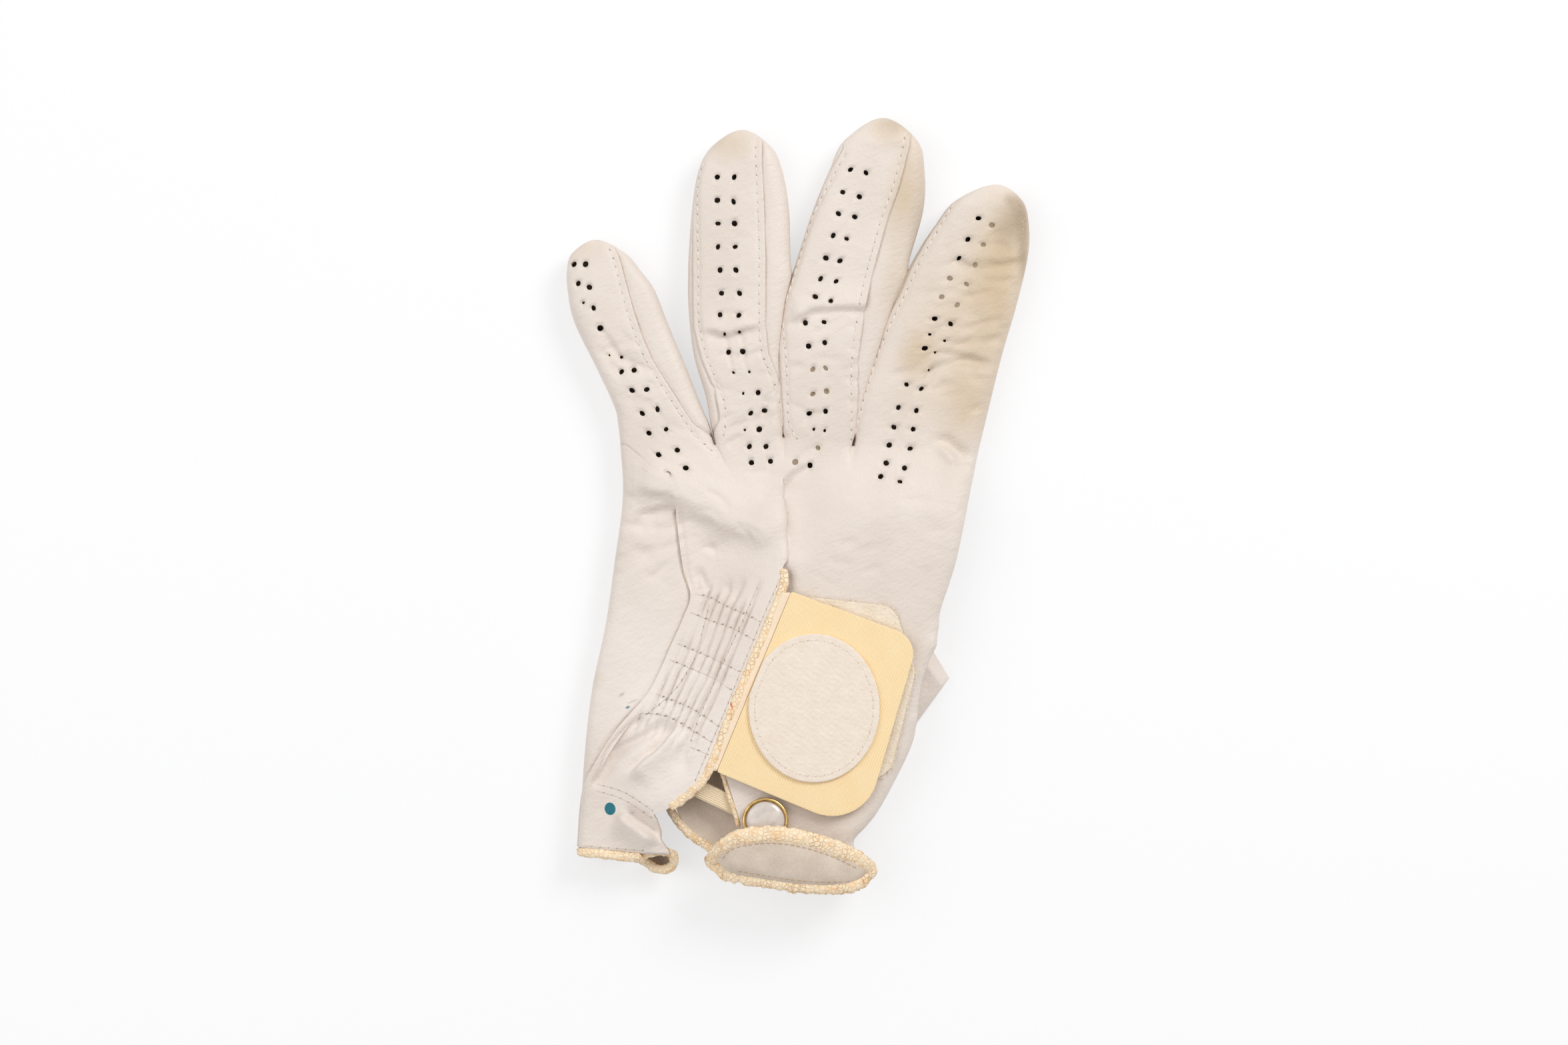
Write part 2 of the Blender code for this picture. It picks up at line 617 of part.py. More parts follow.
def make_leather(glove, cutters):
    """The sewn leather: back, palm, side strips and thumb."""
    leather = material("white_leather", (0.80, 0.75, 0.69), 0.55)
    sheet("back_panel", back_grids(), LEATHER, leather, glove)
    palm = sheet("palm_panel", palm_grids(), LEATHER, leather, glove)
    for first, second in zip(FINGERS, FINGERS[1:]):
        sheet(f"fourchette_{first.name}_{second.name}", [side_strip(first, second)], LEATHER, leather, glove)
    thumb = sheet("thumb_stall", [thumb_grid()], LEATHER, leather, glove, close_ends=True)
    cut_round(palm, THUMB_AXIS, PALM_HOLE_RADIUS, (RAISED_BOTTOM - 2, RAISED_BOTTOM + 3), cutters)
    cut_round(thumb, THUMB_AXIS, THUMB_HOLE_RADIUS, (THUMB_TOP / 2, THUMB_TOP + 2), cutters)
    cut_round(bpy.data.objects["back_panel"], MARKER_CENTRE, STUD_HOLE_RADIUS,
              (RAISED_TOP - 2, RAISED_TOP + 1), cutters)
    hang_on([thumb], "thumb_pivot", (*THUMB_AXIS, THUMB_TOP), glove)


def make_bindings(glove):
    """The tapes sewn over the slit's and the wrist's raw edges."""
    tape = material("edge_tape", (0.84, 0.66, 0.45), 0.7)
    levels = np.linspace(-20.5, -85.5, 24)
    inset = SLIT_BINDING_RADIUS + 0.1
    left = np.column_stack([beside(SLIT_LEFT, levels, -inset), levels])
    height = left_flap_height(left[:, 0] - 1, left[:, 1]) - LEATHER / 2
    bead("slit_binding_left", np.column_stack([left, height]), SLIT_BINDING_RADIUS, tape, glove)
    levels = np.linspace(-20.5, -88.5, 24)
    right = np.column_stack([beside(SLIT_RIGHT, levels, INNER_BINDING_RADIUS + 0.2), levels])
    height = back_height(right[:, 0] + 1, right[:, 1]) - LEATHER / 2
    bead("slit_binding_right", np.column_stack([right, height]), INNER_BINDING_RADIUS, tape, glove)
    x = np.linspace(-60.5, -44.5, 9)
    y = beside(LEFT_CUFF, x, BINDING_RADIUS - 0.2)
    cuff = np.column_stack([x, y, left_flap_height(x, y + 2) - LEATHER / 2])
    bead("cuff_binding_left", cuff, BINDING_RADIUS, tape, glove)
    x = np.linspace(-60.0, 19.5, 34)
    y = beside(PALM_WRIST, x, BINDING_RADIUS - 0.2)
    palm = np.column_stack([x, y, np.maximum(palm_height(x, y + 2) + LEATHER / 2, BINDING_RADIUS + SEAM_GAP)])
    bead("cuff_binding_palm", palm, BINDING_RADIUS, tape, glove)
    share = np.linspace(0.06, 0.93, 22)
    edge, inner = lip_curl(share, (1.0, 0.93))
    onward = edge - inner
    onward /= np.linalg.norm(onward, axis=1)[:, None]
    bead("cuff_binding_right", edge + onward * (BINDING_RADIUS + 0.35), BINDING_RADIUS, tape, glove)


def make_elastics(glove):
    """The elastic tapes inside: three under the gathers and one across the wrist."""
    elastic = material("elastic", (0.86, 0.80, 0.68), 0.85)
    below = LEATHER + 0.35
    for name, (start, end) in SHIRR_TAPES.items():
        grid = ribbon(start, end, lambda x, y: left_flap_height(x, y) - below)
        sheet(name, [grid], ELASTIC_THICKNESS, elastic, glove)
    grid = ribbon(*WRIST_TAPE, lambda x, y: hand_height(x, y, 1) - below - INNER_BINDING_RADIUS)
    sheet("wrist_elastic", [grid], ELASTIC_THICKNESS, elastic, glove)


def make_closure(glove):
    """The hook-and-loop closing tab with its felt patch."""
    tape = material("tab_tape", (0.95, 0.73, 0.36), 0.8)
    hooks = material("hooks", (0.85, 0.70, 0.42), 0.7)
    loops = material("loop_pile", (0.86, 0.78, 0.64), 0.95)
    felt = material("wool_felt", (0.87, 0.80, 0.70), 0.95)
    plate("loop_patch", rounded_outline(LOOP_CORNERS), LOOP_Z, loops, glove)
    hook = plate("hook_field", rounded_outline(HOOK_CORNERS), HOOK_Z, hooks, glove)
    tab = plate("closing_tab", rounded_outline(TAB_CORNERS), TAB_Z, tape, glove)
    turn = np.linspace(0, 2 * math.pi, 41)[:-1]
    oval = np.column_stack([FELT_CENTRE[0] + FELT_SIZE[0] / 2 * np.cos(turn),
                            FELT_CENTRE[1] + FELT_SIZE[1] / 2 * np.sin(turn)])
    patch = plate("felt_patch", oval, FELT_Z, felt, glove)
    middle = np.mean(TAB_HINGE, axis=0)
    hang_on([hook, tab, patch], "tab_hinge", (*middle, TAB_HINGE_Z), glove)


def make_marker(glove):
    """The ball marker and the stud that it snaps onto."""
    brass = material("brass", (0.62, 0.42, 0.12), 0.3, 1.0)
    pearl = material("pearl", (0.86, 0.83, 0.80), 0.2)
    steel = material("spring_steel", (0.55, 0.53, 0.50), 0.35, 1.0)
    ring = turned("marker_ring", RING_PROFILE, MARKER_CENTRE, brass, glove)
    cap = turned("marker_pearl", PEARL_PROFILE, MARKER_CENTRE, pearl, glove)
    socket = turned("marker_socket", SOCKET_PROFILE, MARKER_CENTRE, steel, glove)
    turned("snap_stud", STUD_PROFILE, MARKER_CENTRE, steel, glove)
    turned("snap_washer", WASHER_PROFILE, MARKER_CENTRE, steel, glove)
    hang_on([ring, cap, socket], "marker_slide", (*MARKER_CENTRE, RAISED_TOP), glove)


def main():
    for old in list(bpy.data.objects):
        bpy.data.objects.remove(old)
    glove = bpy.data.collections.new("golf_glove")
    cutters = bpy.data.collections.new("cutters")
    bpy.context.scene.collection.children.link(glove)
    bpy.context.scene.collection.children.link(cutters)
    make_leather(glove, cutters)
    make_bindings(glove)
    make_elastics(glove)
    make_closure(glove)
    make_marker(glove)


main()
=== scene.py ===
"""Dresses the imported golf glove: worn white leather, edge tapes, closing tab, felt patch and ball marker.

Lengths in the pieces' data are millimetres, and MM turns them into metres. +X runs to the index finger's
side, +Y to the fingertips and +Z up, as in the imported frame.
"""

import logging
import math
from dataclasses import dataclass, field
from enum import Enum
from typing import Any, Callable, Iterable, Sequence

import bmesh
import bpy
import numpy as np
from mathutils import Matrix, Vector
from mathutils.bvhtree import BVHTree


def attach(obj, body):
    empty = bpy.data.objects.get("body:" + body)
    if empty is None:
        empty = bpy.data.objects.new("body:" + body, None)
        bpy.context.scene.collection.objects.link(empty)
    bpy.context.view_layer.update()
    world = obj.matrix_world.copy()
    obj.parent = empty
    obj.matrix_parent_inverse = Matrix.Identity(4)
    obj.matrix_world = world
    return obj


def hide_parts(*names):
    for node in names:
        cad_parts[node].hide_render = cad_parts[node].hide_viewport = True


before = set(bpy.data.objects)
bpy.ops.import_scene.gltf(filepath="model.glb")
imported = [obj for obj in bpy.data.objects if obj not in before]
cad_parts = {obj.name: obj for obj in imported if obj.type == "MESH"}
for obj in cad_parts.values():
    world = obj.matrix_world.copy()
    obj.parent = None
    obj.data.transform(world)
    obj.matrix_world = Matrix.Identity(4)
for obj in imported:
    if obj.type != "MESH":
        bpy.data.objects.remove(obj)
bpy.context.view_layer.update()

LOG = logging.getLogger("glove")
MM = 0.001
LEATHER = 0.8
BATCH = 60
SHARP = math.radians(40)
FAR = 1e9
WAVES = 14
SLOPE_REACH = 1.5
STEEPEST = 1.5
ABOVE = 0.08
DOWN = Vector((0, 0, -1))
Array = np.ndarray
Points = Sequence[Sequence[float]]
Heights = Callable[[Array, Array], Array]
Course = Callable[[Array], Array]
Mesh = bmesh.types.BMesh
Object = bpy.types.Object
Material = bpy.types.Material
Socket = bpy.types.NodeSocket


# Curves and heights


def spline(points: Points, params: Array) -> Array:
    """Catmull-Rom curve through points.

    Args:
        points: Knots of the curve.
        params: Places on it, from 0 to 1.

    Returns:
        The curve's points.
    """
    pts = np.asarray(points, float)
    ends = np.vstack([2 * pts[0] - pts[1], pts, 2 * pts[-1] - pts[-2]])
    place = np.clip(np.asarray(params, float), 0, 1) * (len(pts) - 1)
    index = np.minimum(place.astype(int), len(pts) - 2)
    t = (place - index)[:, None]
    p0, p1, p2, p3 = (ends[index + k] for k in range(4))
    curve = 2 * p1 + (p2 - p0) * t + (2 * p0 - 5 * p1 + 4 * p2 - p3) * t**2
    return 0.5 * (curve + (3 * p1 - p0 - 3 * p2 + p3) * t**3)


def ramp(value: Array, start: float, stop: float) -> Array:
    """Eases from 0 where the value is at start to 1 where it is at stop."""
    t = np.clip((value - start) / (stop - start), 0, 1)
    return t * t * (3 - 2 * t)


def along(outline: Points, at: Array) -> Array:
    """Second value of an outline's points where the first value is at."""
    table = np.array(sorted(outline), float)
    return np.interp(at, table[:, 0], table[:, 1])


def beside(outline: Points, at: Array, distance: Any) -> Array:
    """Like along, for a line at a distance, measured square to it, from the outline."""
    slope = (along(outline, at + SLOPE_REACH) - along(outline, at - SLOPE_REACH)) / (2 * SLOPE_REACH)
    return along(outline, at) + distance * np.minimum(np.sqrt(1 + slope**2), STEEPEST)


def run_along(points: Array) -> Array:
    """Distance along a line from its first point to each of its points."""
    return np.concatenate([[0], np.cumsum(np.linalg.norm(np.diff(points, axis=0), axis=1))])


def even(points: Points, pitch: float) -> Array:
    """Points at an even pitch along a smooth curve through the given ones."""
    fine = spline(points, np.linspace(0, 1, 60 * len(points)))
    run = run_along(fine)
    places = np.linspace(0, run[-1], max(2, round(run[-1] / pitch) + 1))
    return np.column_stack([np.interp(places, run, column) for column in fine.T])


def smooth(points: Points) -> tuple:
    """Close points of a smooth curve through the given ones."""
    return tuple(tuple(point) for point in even(points, 0.8))


def ripple(x: Array, y: Array, wave: float, seed: int) -> Array:
    """Soft random waviness of about one unit.

    Args:
        x: Places across.
        y: Places along.
        wave: Typical length of a wave.
        seed: Which pattern.

    Returns:
        Heights from about -1 to 1.
    """
    draw = np.random.default_rng(seed)
    total = np.zeros_like(x, float)
    for _ in range(WAVES):
        turn, phase = draw.uniform(0, 2 * math.pi, 2)
        pace = 2 * math.pi / (wave * draw.uniform(0.6, 1.7))
        total += np.sin(pace * (x * math.cos(turn) + y * math.sin(turn)) + phase)
    return total / 4


@dataclass(frozen=True)
class Fold:
    """A crease or ridge in the leather along a line.

    Height falls off over `left` and `right` millimetres on the line's two sides, as seen along it.
    """

    line: Points
    height: float
    left: float
    right: float
    fade: float = 5.0

    def relief(self, x: Array, y: Array) -> Array:
        """Height that the fold adds at each place."""
        line = even(self.line, 1.0)
        reach = 3 * max(self.left, self.right)
        low, high = line.min(0) - reach, line.max(0) + reach
        near = (x > low[0]) & (x < high[0]) & (y > low[1]) & (y < high[1])
        added = np.zeros_like(x)
        if not near.any():
            return added
        place = np.column_stack([x[near], y[near]])
        best = np.full(len(place), FAR)
        side, run = np.zeros(len(place)), np.zeros(len(place))
        for i, (a, b) in enumerate(zip(line, line[1:])):
            ahead = b - a
            length = np.linalg.norm(ahead)
            t = np.clip((place - a) @ ahead / length**2, 0, 1)
            off = place - a - t[:, None] * ahead
            distance = np.hypot(off[:, 0], off[:, 1])
            closer = distance < best
            best[closer] = distance[closer]
            side[closer] = (ahead[0] * off[:, 1] - ahead[1] * off[:, 0])[closer]
            run[closer] = (i + t)[closer] * length
        width = np.where(side > 0, self.left, self.right)
        total = (len(line) - 1) * np.linalg.norm(line[1] - line[0])
        ends = ramp(np.minimum(run, total - run), 0, self.fade)
        added[near] = self.height * ends * np.exp(-((best / width) ** 2))
        return added


# Meshes


def add_grid(bm: Mesh, grid: Array) -> None:
    """Adds a grid of points, in millimetres, to a mesh.

    Args:
        bm: The mesh.
        grid: Rows of columns of points.
    """
    rows, columns = grid.shape[:2]
    made = bmesh.ops.create_grid(bm, x_segments=columns - 1, y_segments=rows - 1, size=1)["verts"]
    flat = np.array([vert.co[:2] for vert in made])
    row = np.rint((flat[:, 1] + 1) / 2 * (rows - 1)).astype(int)
    column = np.rint((flat[:, 0] + 1) / 2 * (columns - 1)).astype(int)
    for vert, point in zip(made, grid[row, column] * MM):
        vert.co = point


def draw_rims(bm: Mesh, holes: Points, lowest: float, highest: float) -> set:
    """Pulls the leather round each hole onto the hole's oval.

    Args:
        bm: The sheet, before it gets its thickness.
        holes: Each hole's x, y, two radii in millimetres and turn in radians.
        lowest: Height above which leather is marked, in millimetres.
        highest: Height below which leather is marked, in millimetres.

    Returns:
        The corners that lie inside the holes.
    """
    place = np.array([vert.co[:] for vert in bm.verts]) / MM
    verts = list(bm.verts)
    gone: set = set()
    rims: list = []
    for x, y, long, short, turn in holes:
        spin = np.array(((math.cos(turn), math.sin(turn)), (-math.sin(turn), math.cos(turn))))
        oval = spin / np.array(((long,), (short,)))
        distance = np.linalg.norm((place[:, :2] - (x, y)) @ oval.T, axis=1)
        level = (place[:, 2] > lowest) & (place[:, 2] < highest)
        distance[~level] = FAR
        inside = np.flatnonzero(distance < max(1.0, distance.min() + 0.001))
        cut = {verts[i] for i in inside}
        rim = {v for c in cut for f in c.link_faces for v in f.verts} - cut
        gone |= cut
        rims.append((np.array((x, y)), oval, rim))
    for middle, oval, rim in rims:
        for vert in rim - gone:
            off = np.array(vert.co[:2]) / MM - middle
            vert.co[:2] = (middle + off / max(np.linalg.norm(oval @ off), 1e-6)) * MM
    return gone


def punch(bm: Mesh, holes: Points, lowest: float, highest: float) -> None:
    """Cuts holes through one side of a sheet; holes and heights are as for draw_rims."""
    bmesh.ops.delete(bm, geom=list(draw_rims(bm, holes, lowest, highest)), context="VERTS")


def press_shut(bm: Mesh, holes: Points, lowest: float, depth: float, surface: int) -> None:
    """Makes holes that show the leather lying close below them, coloured dark with painted shade.

    Args:
        bm: The sheet, before it gets its thickness.
        holes: Each hole's x, y, two radii in millimetres and turn in radians.
        lowest: Height above which leather is pressed, in millimetres.
        depth: How deep the leather below lies, in millimetres.
        surface: Which of the piece's materials it takes.
    """
    for vert in draw_rims(bm, holes, lowest, math.inf):
        vert.co.z -= depth * MM
        for face in vert.link_faces:
            face.material_index = surface


def add_capsules(bm: Mesh, places: Sequence[tuple], radius: float, surface: int = 0) -> None:
    """Adds small rounded stitches, a batch at a time.

    Args:
        bm: The mesh.
        places: Each stitch's middle, its half length as a vector and its upward direction, in millimetres.
        radius: Thread radius in millimetres.
        surface: Which of the piece's materials they take.
    """
    for first in range(0, len(places), BATCH):
        batch = bmesh.new()
        for middle, half, up in places[first:first + BATCH]:
            turn = Matrix((half.normalized(), up.cross(half).normalized(), up)).transposed().to_4x4()
            size = Matrix.Diagonal((half.length, radius, radius * 0.8, 1))
            lay = Matrix.Scale(MM, 4) @ Matrix.Translation(middle) @ turn @ size
            bmesh.ops.create_uvsphere(batch, u_segments=6, v_segments=4, radius=1,
                                      matrix=lay @ Matrix.Rotation(math.pi / 2, 4, "Y"))
        for face in batch.faces:
            face.material_index = surface
        made = bpy.data.meshes.new("batch")
        batch.to_mesh(made)
        batch.free()
        bm.from_mesh(made)
        bpy.data.meshes.remove(made)


@dataclass
class Piece:
    """One finished piece of the glove, with the body that carries it."""

    name: str
    body: str
    slot: str
    materials: list
    replaces: tuple = ()
    bm: Mesh = field(default_factory=bmesh.new)

    def finish(self, thickness: float = 0, weld: float = 0.02, crease: bool = False) -> Object:
        """Turns the mesh into an object on its body.

        Args:
            thickness: Sheet thickness in millimetres, inwards from the mesh, or 0 for a solid.
            weld: Distance within which loose corners are joined, in millimetres.
            crease: Whether sharp edges stay sharp.

        Returns:
            The object.
        """
        bmesh.ops.remove_doubles(self.bm, verts=self.bm.verts, dist=weld * MM)
        mesh = bpy.data.meshes.new(self.name)
        self.bm.to_mesh(mesh)
        self.bm.free()
        mesh.shade_smooth()
        if crease:
            mesh.set_sharp_from_angle(angle=SHARP)
        for surface in self.materials:
            mesh.materials.append(surface)
        made = bpy.data.objects.new(self.name, mesh)
        bpy.context.scene.collection.objects.link(made)
        if thickness:
            wall = made.modifiers.new("thickness", "SOLIDIFY")
            wall.thickness = thickness * MM
            wall.offset = -1
            wall.use_even_offset = False
            wall.material_offset = len(self.materials) - 1
            wall.material_offset_rim = len(self.materials) - 1
        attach(made, self.body)
        if self.replaces:
            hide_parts(*self.replaces)
        LOG.info("%s: %d faces on %s", self.name, len(mesh.polygons), self.body)
        return made


class Hold(Enum):
    """How a sheet is held in the finished glove."""

    GATHERED = "gathered"
    FOLDED = "folded"
    LAID = "laid"


@dataclass(frozen=True)
class Cut:
    """Flat size that a sheet was cut to, in millimetres and square millimetres, and how it is held."""

    width: float
    length: float
    area: float
    held: Hold
    rests_on: tuple

    def declare(self, made: Object) -> Object:
        """Gives the piece back unchanged."""
        list(self.rests_on)
        return made


def tree_of(made: Object) -> BVHTree:
    """Search tree of an object's own mesh, to lay stitches on it."""
    bm = bmesh.new()
    bm.from_mesh(made.data)
    tree = BVHTree.FromBMesh(bm)
    bm.free()
    return tree


@dataclass(frozen=True)
class Stitch:
    """One kind of stitch, in millimetres.

    `share` is the part of the pitch that shows as thread, `parts` the straight lengths that let a stitch follow
    a wavy surface, and `sink` how deep the thread lies.
    """

    pitch: float
    share: float
    parts: int
    sink: float
    radius: float

    def places(self, tree: BVHTree, line: Points) -> list:
        """Places of a row of these stitches on a surface, seen from above.

        Args:
            tree: The surface.
            line: The row's course, in millimetres.

        Returns:
            Middle, half length and upward direction of each straight length.
        """
        course = even(line, self.pitch)
        stations = 0.5 + self.share * np.linspace(-0.5, 0.5, self.parts + 1)
        found = []
        for a, b in zip(course, course[1:]):
            spots = [a + (b - a) * t for t in stations]
            hits = [tree.ray_cast(Vector((*(p * MM), ABOVE)), DOWN) for p in spots]
            if any(hit[0] is None for hit in hits) or (hits[-1][0] - hits[0][0]).length > 2 * self.pitch * MM:
                continue
            for one, two in zip(hits, hits[1:]):
                half = (two[0] - one[0]) / MM / 2
                ahead = half.normalized()
                up = (one[1] + two[1]).normalized()
                up = (up - ahead * up.dot(ahead)).normalized()
                found.append((one[0] / MM + half - up * self.sink, half, up))
        return found


# Finishes


@dataclass(frozen=True)
class Value:
    """A number in a material's nodes. Arithmetic on it adds Math nodes."""

    shader: "Shader"
    socket: Socket

    def _math(self, operation: str, first: Any, second: Any) -> "Value":
        """Adds one Math node and wraps its result."""
        return self.shader.value("ShaderNodeMath", {"operation": operation}, {0: first, 1: second})

    def __add__(self, other: Any) -> "Value":
        """Sum."""
        return self._math("ADD", self, other)

    def __rsub__(self, other: Any) -> "Value":
        """Difference from a plain number."""
        return self._math("SUBTRACT", other, self)

    def __mul__(self, other: Any) -> "Value":
        """Product."""
        return self._math("MULTIPLY", self, other)

    def over(self, low: float, high: float) -> "Value":
        """Eases from 0 at low to 1 at high."""
        return self.shader.value("ShaderNodeMapRange", {"interpolation_type": "SMOOTHSTEP"},
                                 {0: self, 1: low, 2: high})


class Shader:
    """One material's nodes around its Principled shader."""

    def __init__(self, name: str) -> None:
        """Starts a material that reads Object coordinates."""
        self.material = bpy.data.materials.new(name)
        self.material.use_nodes = True
        self.tree = self.material.node_tree
        self.surface = self.tree.nodes["Principled BSDF"]
        self.place = self.node("ShaderNodeTexCoord", {}, {}).outputs["Object"]

    def node(self, kind: str, settings: dict, sockets: dict) -> bpy.types.Node:
        """Adds a node.

        Args:
            kind: Blender's type name.
            settings: Properties of the node, set first.
            sockets: Values or links of its inputs.

        Returns:
            The node.
        """
        made = self.tree.nodes.new(kind)
        for key, value in settings.items():
            setattr(made, key, value)
        for key, value in sockets.items():
            self.feed(made.inputs[key], value)
        return made

    def value(self, kind: str, settings: dict, sockets: dict, output: Any = 0) -> Value:
        """Adds a node and gives one of its results."""
        return Value(self, self.node(kind, settings, sockets).outputs[output])

    def feed(self, socket: Socket, value: Any) -> None:
        """Links a socket, or sets its plain value."""
        if isinstance(value, Value):
            value = value.socket
        if isinstance(value, Socket):
            self.tree.links.new(value, socket)
        else:
            socket.default_value = value

    def mapped(self, stretch: Points, turn: float = 0, centre: Points = (0, 0, 0)) -> Socket:
        """Object coordinates about a centre, turned about Z and divided by a stretch."""
        made = self.node("ShaderNodeMapping", {"vector_type": "TEXTURE"},
                         {"Vector": self.place, "Location": [c * MM for c in centre],
                          "Rotation": (0, 0, turn), "Scale": stretch})
        return made.outputs[0]

    def noise(self, size: float, detail: float = 2, stretch: Points = (1, 1, 1), turn: float = 0) -> Value:
        """Soft random pattern with features of about size millimetres."""
        return self.value("ShaderNodeTexNoise", {},
                          {"Vector": self.mapped(stretch, turn), "Scale": 1 / (size * MM), "Detail": detail})

    def cells(self, size: float, feature: str = "F1") -> Value:
        """Cell pattern: distance within cells of about size millimetres."""
        return self.value("ShaderNodeTexVoronoi", {"feature": feature},
                          {"Vector": self.place, "Scale": 1 / (size * MM)})

    def ribs(self, pitch: float, turn: float, wobble: float) -> Value:
        """Straight ribs at a pitch in millimetres, turned about Z."""
        return self.value("ShaderNodeTexWave", {"wave_type": "BANDS", "bands_direction": "X"},
                          {"Vector": self.mapped((1, 1, 1), turn), "Scale": math.pi / 10 / (pitch * MM),
                           "Distortion": wobble, "Detail": 1.0, "Detail Scale": 1.5}, 1)

    def spot(self, stain_or_light: "StainOrPaintedLight") -> Value:
        """Oval patch seen from above: 1 in its middle and 0 at its edge."""
        radii = [radius * MM for radius in (*stain_or_light.radii, stain_or_light.depth)]
        place = self.mapped(radii, stain_or_light.turn, (*stain_or_light.centre, SPOT_HEIGHT))
        distance = self.value("ShaderNodeVectorMath", {"operation": "LENGTH"}, {0: place}, "Value")
        return 1 - distance.over(1 - stain_or_light.soft, 1)

    def mix(self, share: Any, first: Any, second: Any) -> Socket:
        """Mixes two colours."""
        colours = {6: first, 7: second}
        for key, colour in colours.items():
            if isinstance(colour, tuple):
                colours[key] = (*colour, 1)
        made = self.node("ShaderNodeMix", {"data_type": "RGBA"}, {0: share, **colours})
        return made.outputs[2]

    def bump(self, height: Value, depth: float, below: Any = None) -> Socket:
        """Normal bent by a height pattern that is depth millimetres deep, on top of another normal."""
        sockets = {"Height": height, "Distance": depth * MM, "Strength": 1.0}
        if below is not None:
            sockets["Normal"] = below
        return self.node("ShaderNodeBump", {}, sockets).outputs[0]

    def done(self, **inputs: Any) -> Material:
        """Sets the Principled shader's inputs and gives the material."""
        for key, value in inputs.items():
            self.feed(self.surface.inputs[key.replace("_", " ").title()], value)
        return self.material


SPOT_HEIGHT = 12.0


@dataclass(frozen=True)
class StainOrPaintedLight:
    """A worn or soiled patch of the leather, or a patch of painted light, seen from above."""

    centre: tuple
    radii: tuple
    colour: tuple
    strength: float
    turn: float = 0.0
    soft: float = 1.0
    ragged: float = 0.5
    depth: float = 1000.0


TAN = (0.64, 0.50, 0.34)
GRIME = (0.42, 0.32, 0.22)
TEAL = (0.0, 0.15, 0.20)
RED = (0.85, 0.10, 0.07)
# PAINTED_LIGHT is painted light, not a stain colour: it lifts the gathers out of their shade.
PAINTED_LIGHT = (0.90, 0.83, 0.78)
STAINS_AND_PAINTED_LIGHT = (
    # Painted light: a paler patch over the gathers that offsets the shade of their folds.
    StainOrPaintedLight((-38, -60), (28, 50), PAINTED_LIGHT, 0.65, 0.35, 1.0, 0.2),
    StainOrPaintedLight((57, 64), (15, 40), TAN, 1.0, -0.2),
    StainOrPaintedLight((61, 79), (8, 13), GRIME, 0.6, -0.3),
    StainOrPaintedLight((64, 72), (3.0, 14), GRIME, 0.7, 0.05),
    StainOrPaintedLight((63.2, 80.5), (3.6, 9), GRIME, 1.0, 0.08),
    StainOrPaintedLight((60.8, 85.5), (4.0, 3.0), GRIME, 0.6, -0.6),
    StainOrPaintedLight((49, 29), (14, 22), TAN, 0.65, -0.3),
    StainOrPaintedLight((34, 42), (8, 10), TAN, 0.75, -0.3),
    StainOrPaintedLight((45, 48), (24, 46), TAN, 0.55, -0.3),
    StainOrPaintedLight((31, 88), (8, 28), TAN, 0.7, -0.2),
    StainOrPaintedLight((34, 80), (4, 20), GRIME, 0.25, -0.1),
    StainOrPaintedLight((27, 106), (11, 8), TAN, 0.6),
    StainOrPaintedLight((28, 108), (9, 5), GRIME, 0.3),
    StainOrPaintedLight((27, 62), (6, 16), TAN, 0.35, -0.3),
    StainOrPaintedLight((-19, 102), (11, 8), TAN, 0.45),
    StainOrPaintedLight((-22, 101), (5, 6), GRIME, 0.15, 0.6),
    StainOrPaintedLight((-60, 72), (9, 6), TAN, 0.3),
    StainOrPaintedLight((-53.3, -87), (1.65, 1.9), TEAL, 1.0, 0.2, 0.12, 0.0, 9),
    StainOrPaintedLight((-48.3, -58.2), (0.9, 0.5), TEAL, 0.8, 0.4, 0.6, 0.0, 9),
    StainOrPaintedLight((-50, -54.6), (1.6, 0.7), GRIME, 0.6, 0.6, 1.0, 0.5, 9),
    StainOrPaintedLight((-47, -56.6), (2.4, 0.5), GRIME, 0.4, 0.4, 1.0, 0.5, 9),
    StainOrPaintedLight((-58, -50), (5, 5), TAN, 0.25),
)


@dataclass(frozen=True)
class LeatherFinish:
    """Thin white leather with a fine grain, soiled on the fingers that grip, and painted lighter over the
    gathers to offset their shade.
    """

    name: str = "white_leather"
    colour: tuple = (0.81, 0.72, 0.65)
    shade: tuple = (0.755, 0.665, 0.59)
    blotch: float = 26.0
    rag: float = 7.0
    wrinkle: float = 2.4
    wrinkle_depth: float = 0.24
    grain: float = 0.75
    grain_depth: float = 0.06
    stains_and_painted_light: tuple = STAINS_AND_PAINTED_LIGHT

    def make(self) -> Material:
        """Builds the material."""
        s = Shader(self.name)
        colour = s.mix(s.noise(self.blotch, 4).over(0.35, 0.7), self.colour, self.shade)
        ragged = s.noise(self.rag, 5)
        # Stains and wear, plus one patch of painted light over the gathers, mixed into the colour.
        for stain_or_light in self.stains_and_painted_light:
            mask = s.spot(stain_or_light) * stain_or_light.strength
            if stain_or_light.ragged:
                mask = mask * (ragged * (2 * stain_or_light.ragged) + (1 - stain_or_light.ragged))
            colour = s.mix(mask, colour, stain_or_light.colour)
        pores = s.cells(self.grain)
        wrinkles = s.noise(self.wrinkle, 4, (1.0, 0.45, 1.0), 0.5)
        normal = s.bump(wrinkles, self.wrinkle_depth)
        normal = s.bump(pores, self.grain_depth, normal)
        return s.done(base_color=colour, roughness=s.noise(9, 3) * 0.2 + 0.42, normal=normal)


@dataclass(frozen=True)
class NapFinish:
    """A napped or woolly surface: suede, felt or pile."""

    name: str
    colour: tuple
    shade: tuple
    fibre: float
    depth: float
    blotch: float = 6.0

    def make(self) -> Material:
        """Builds the material."""
        s = Shader(self.name)
        fibres = s.noise(self.fibre, 4)
        tone = s.noise(self.blotch, 3) * 0.6 + fibres * 0.4
        colour = s.mix(tone.over(0.3, 0.72), self.shade, self.colour)
        return s.done(base_color=colour, roughness=0.95, normal=s.bump(fibres, self.depth))


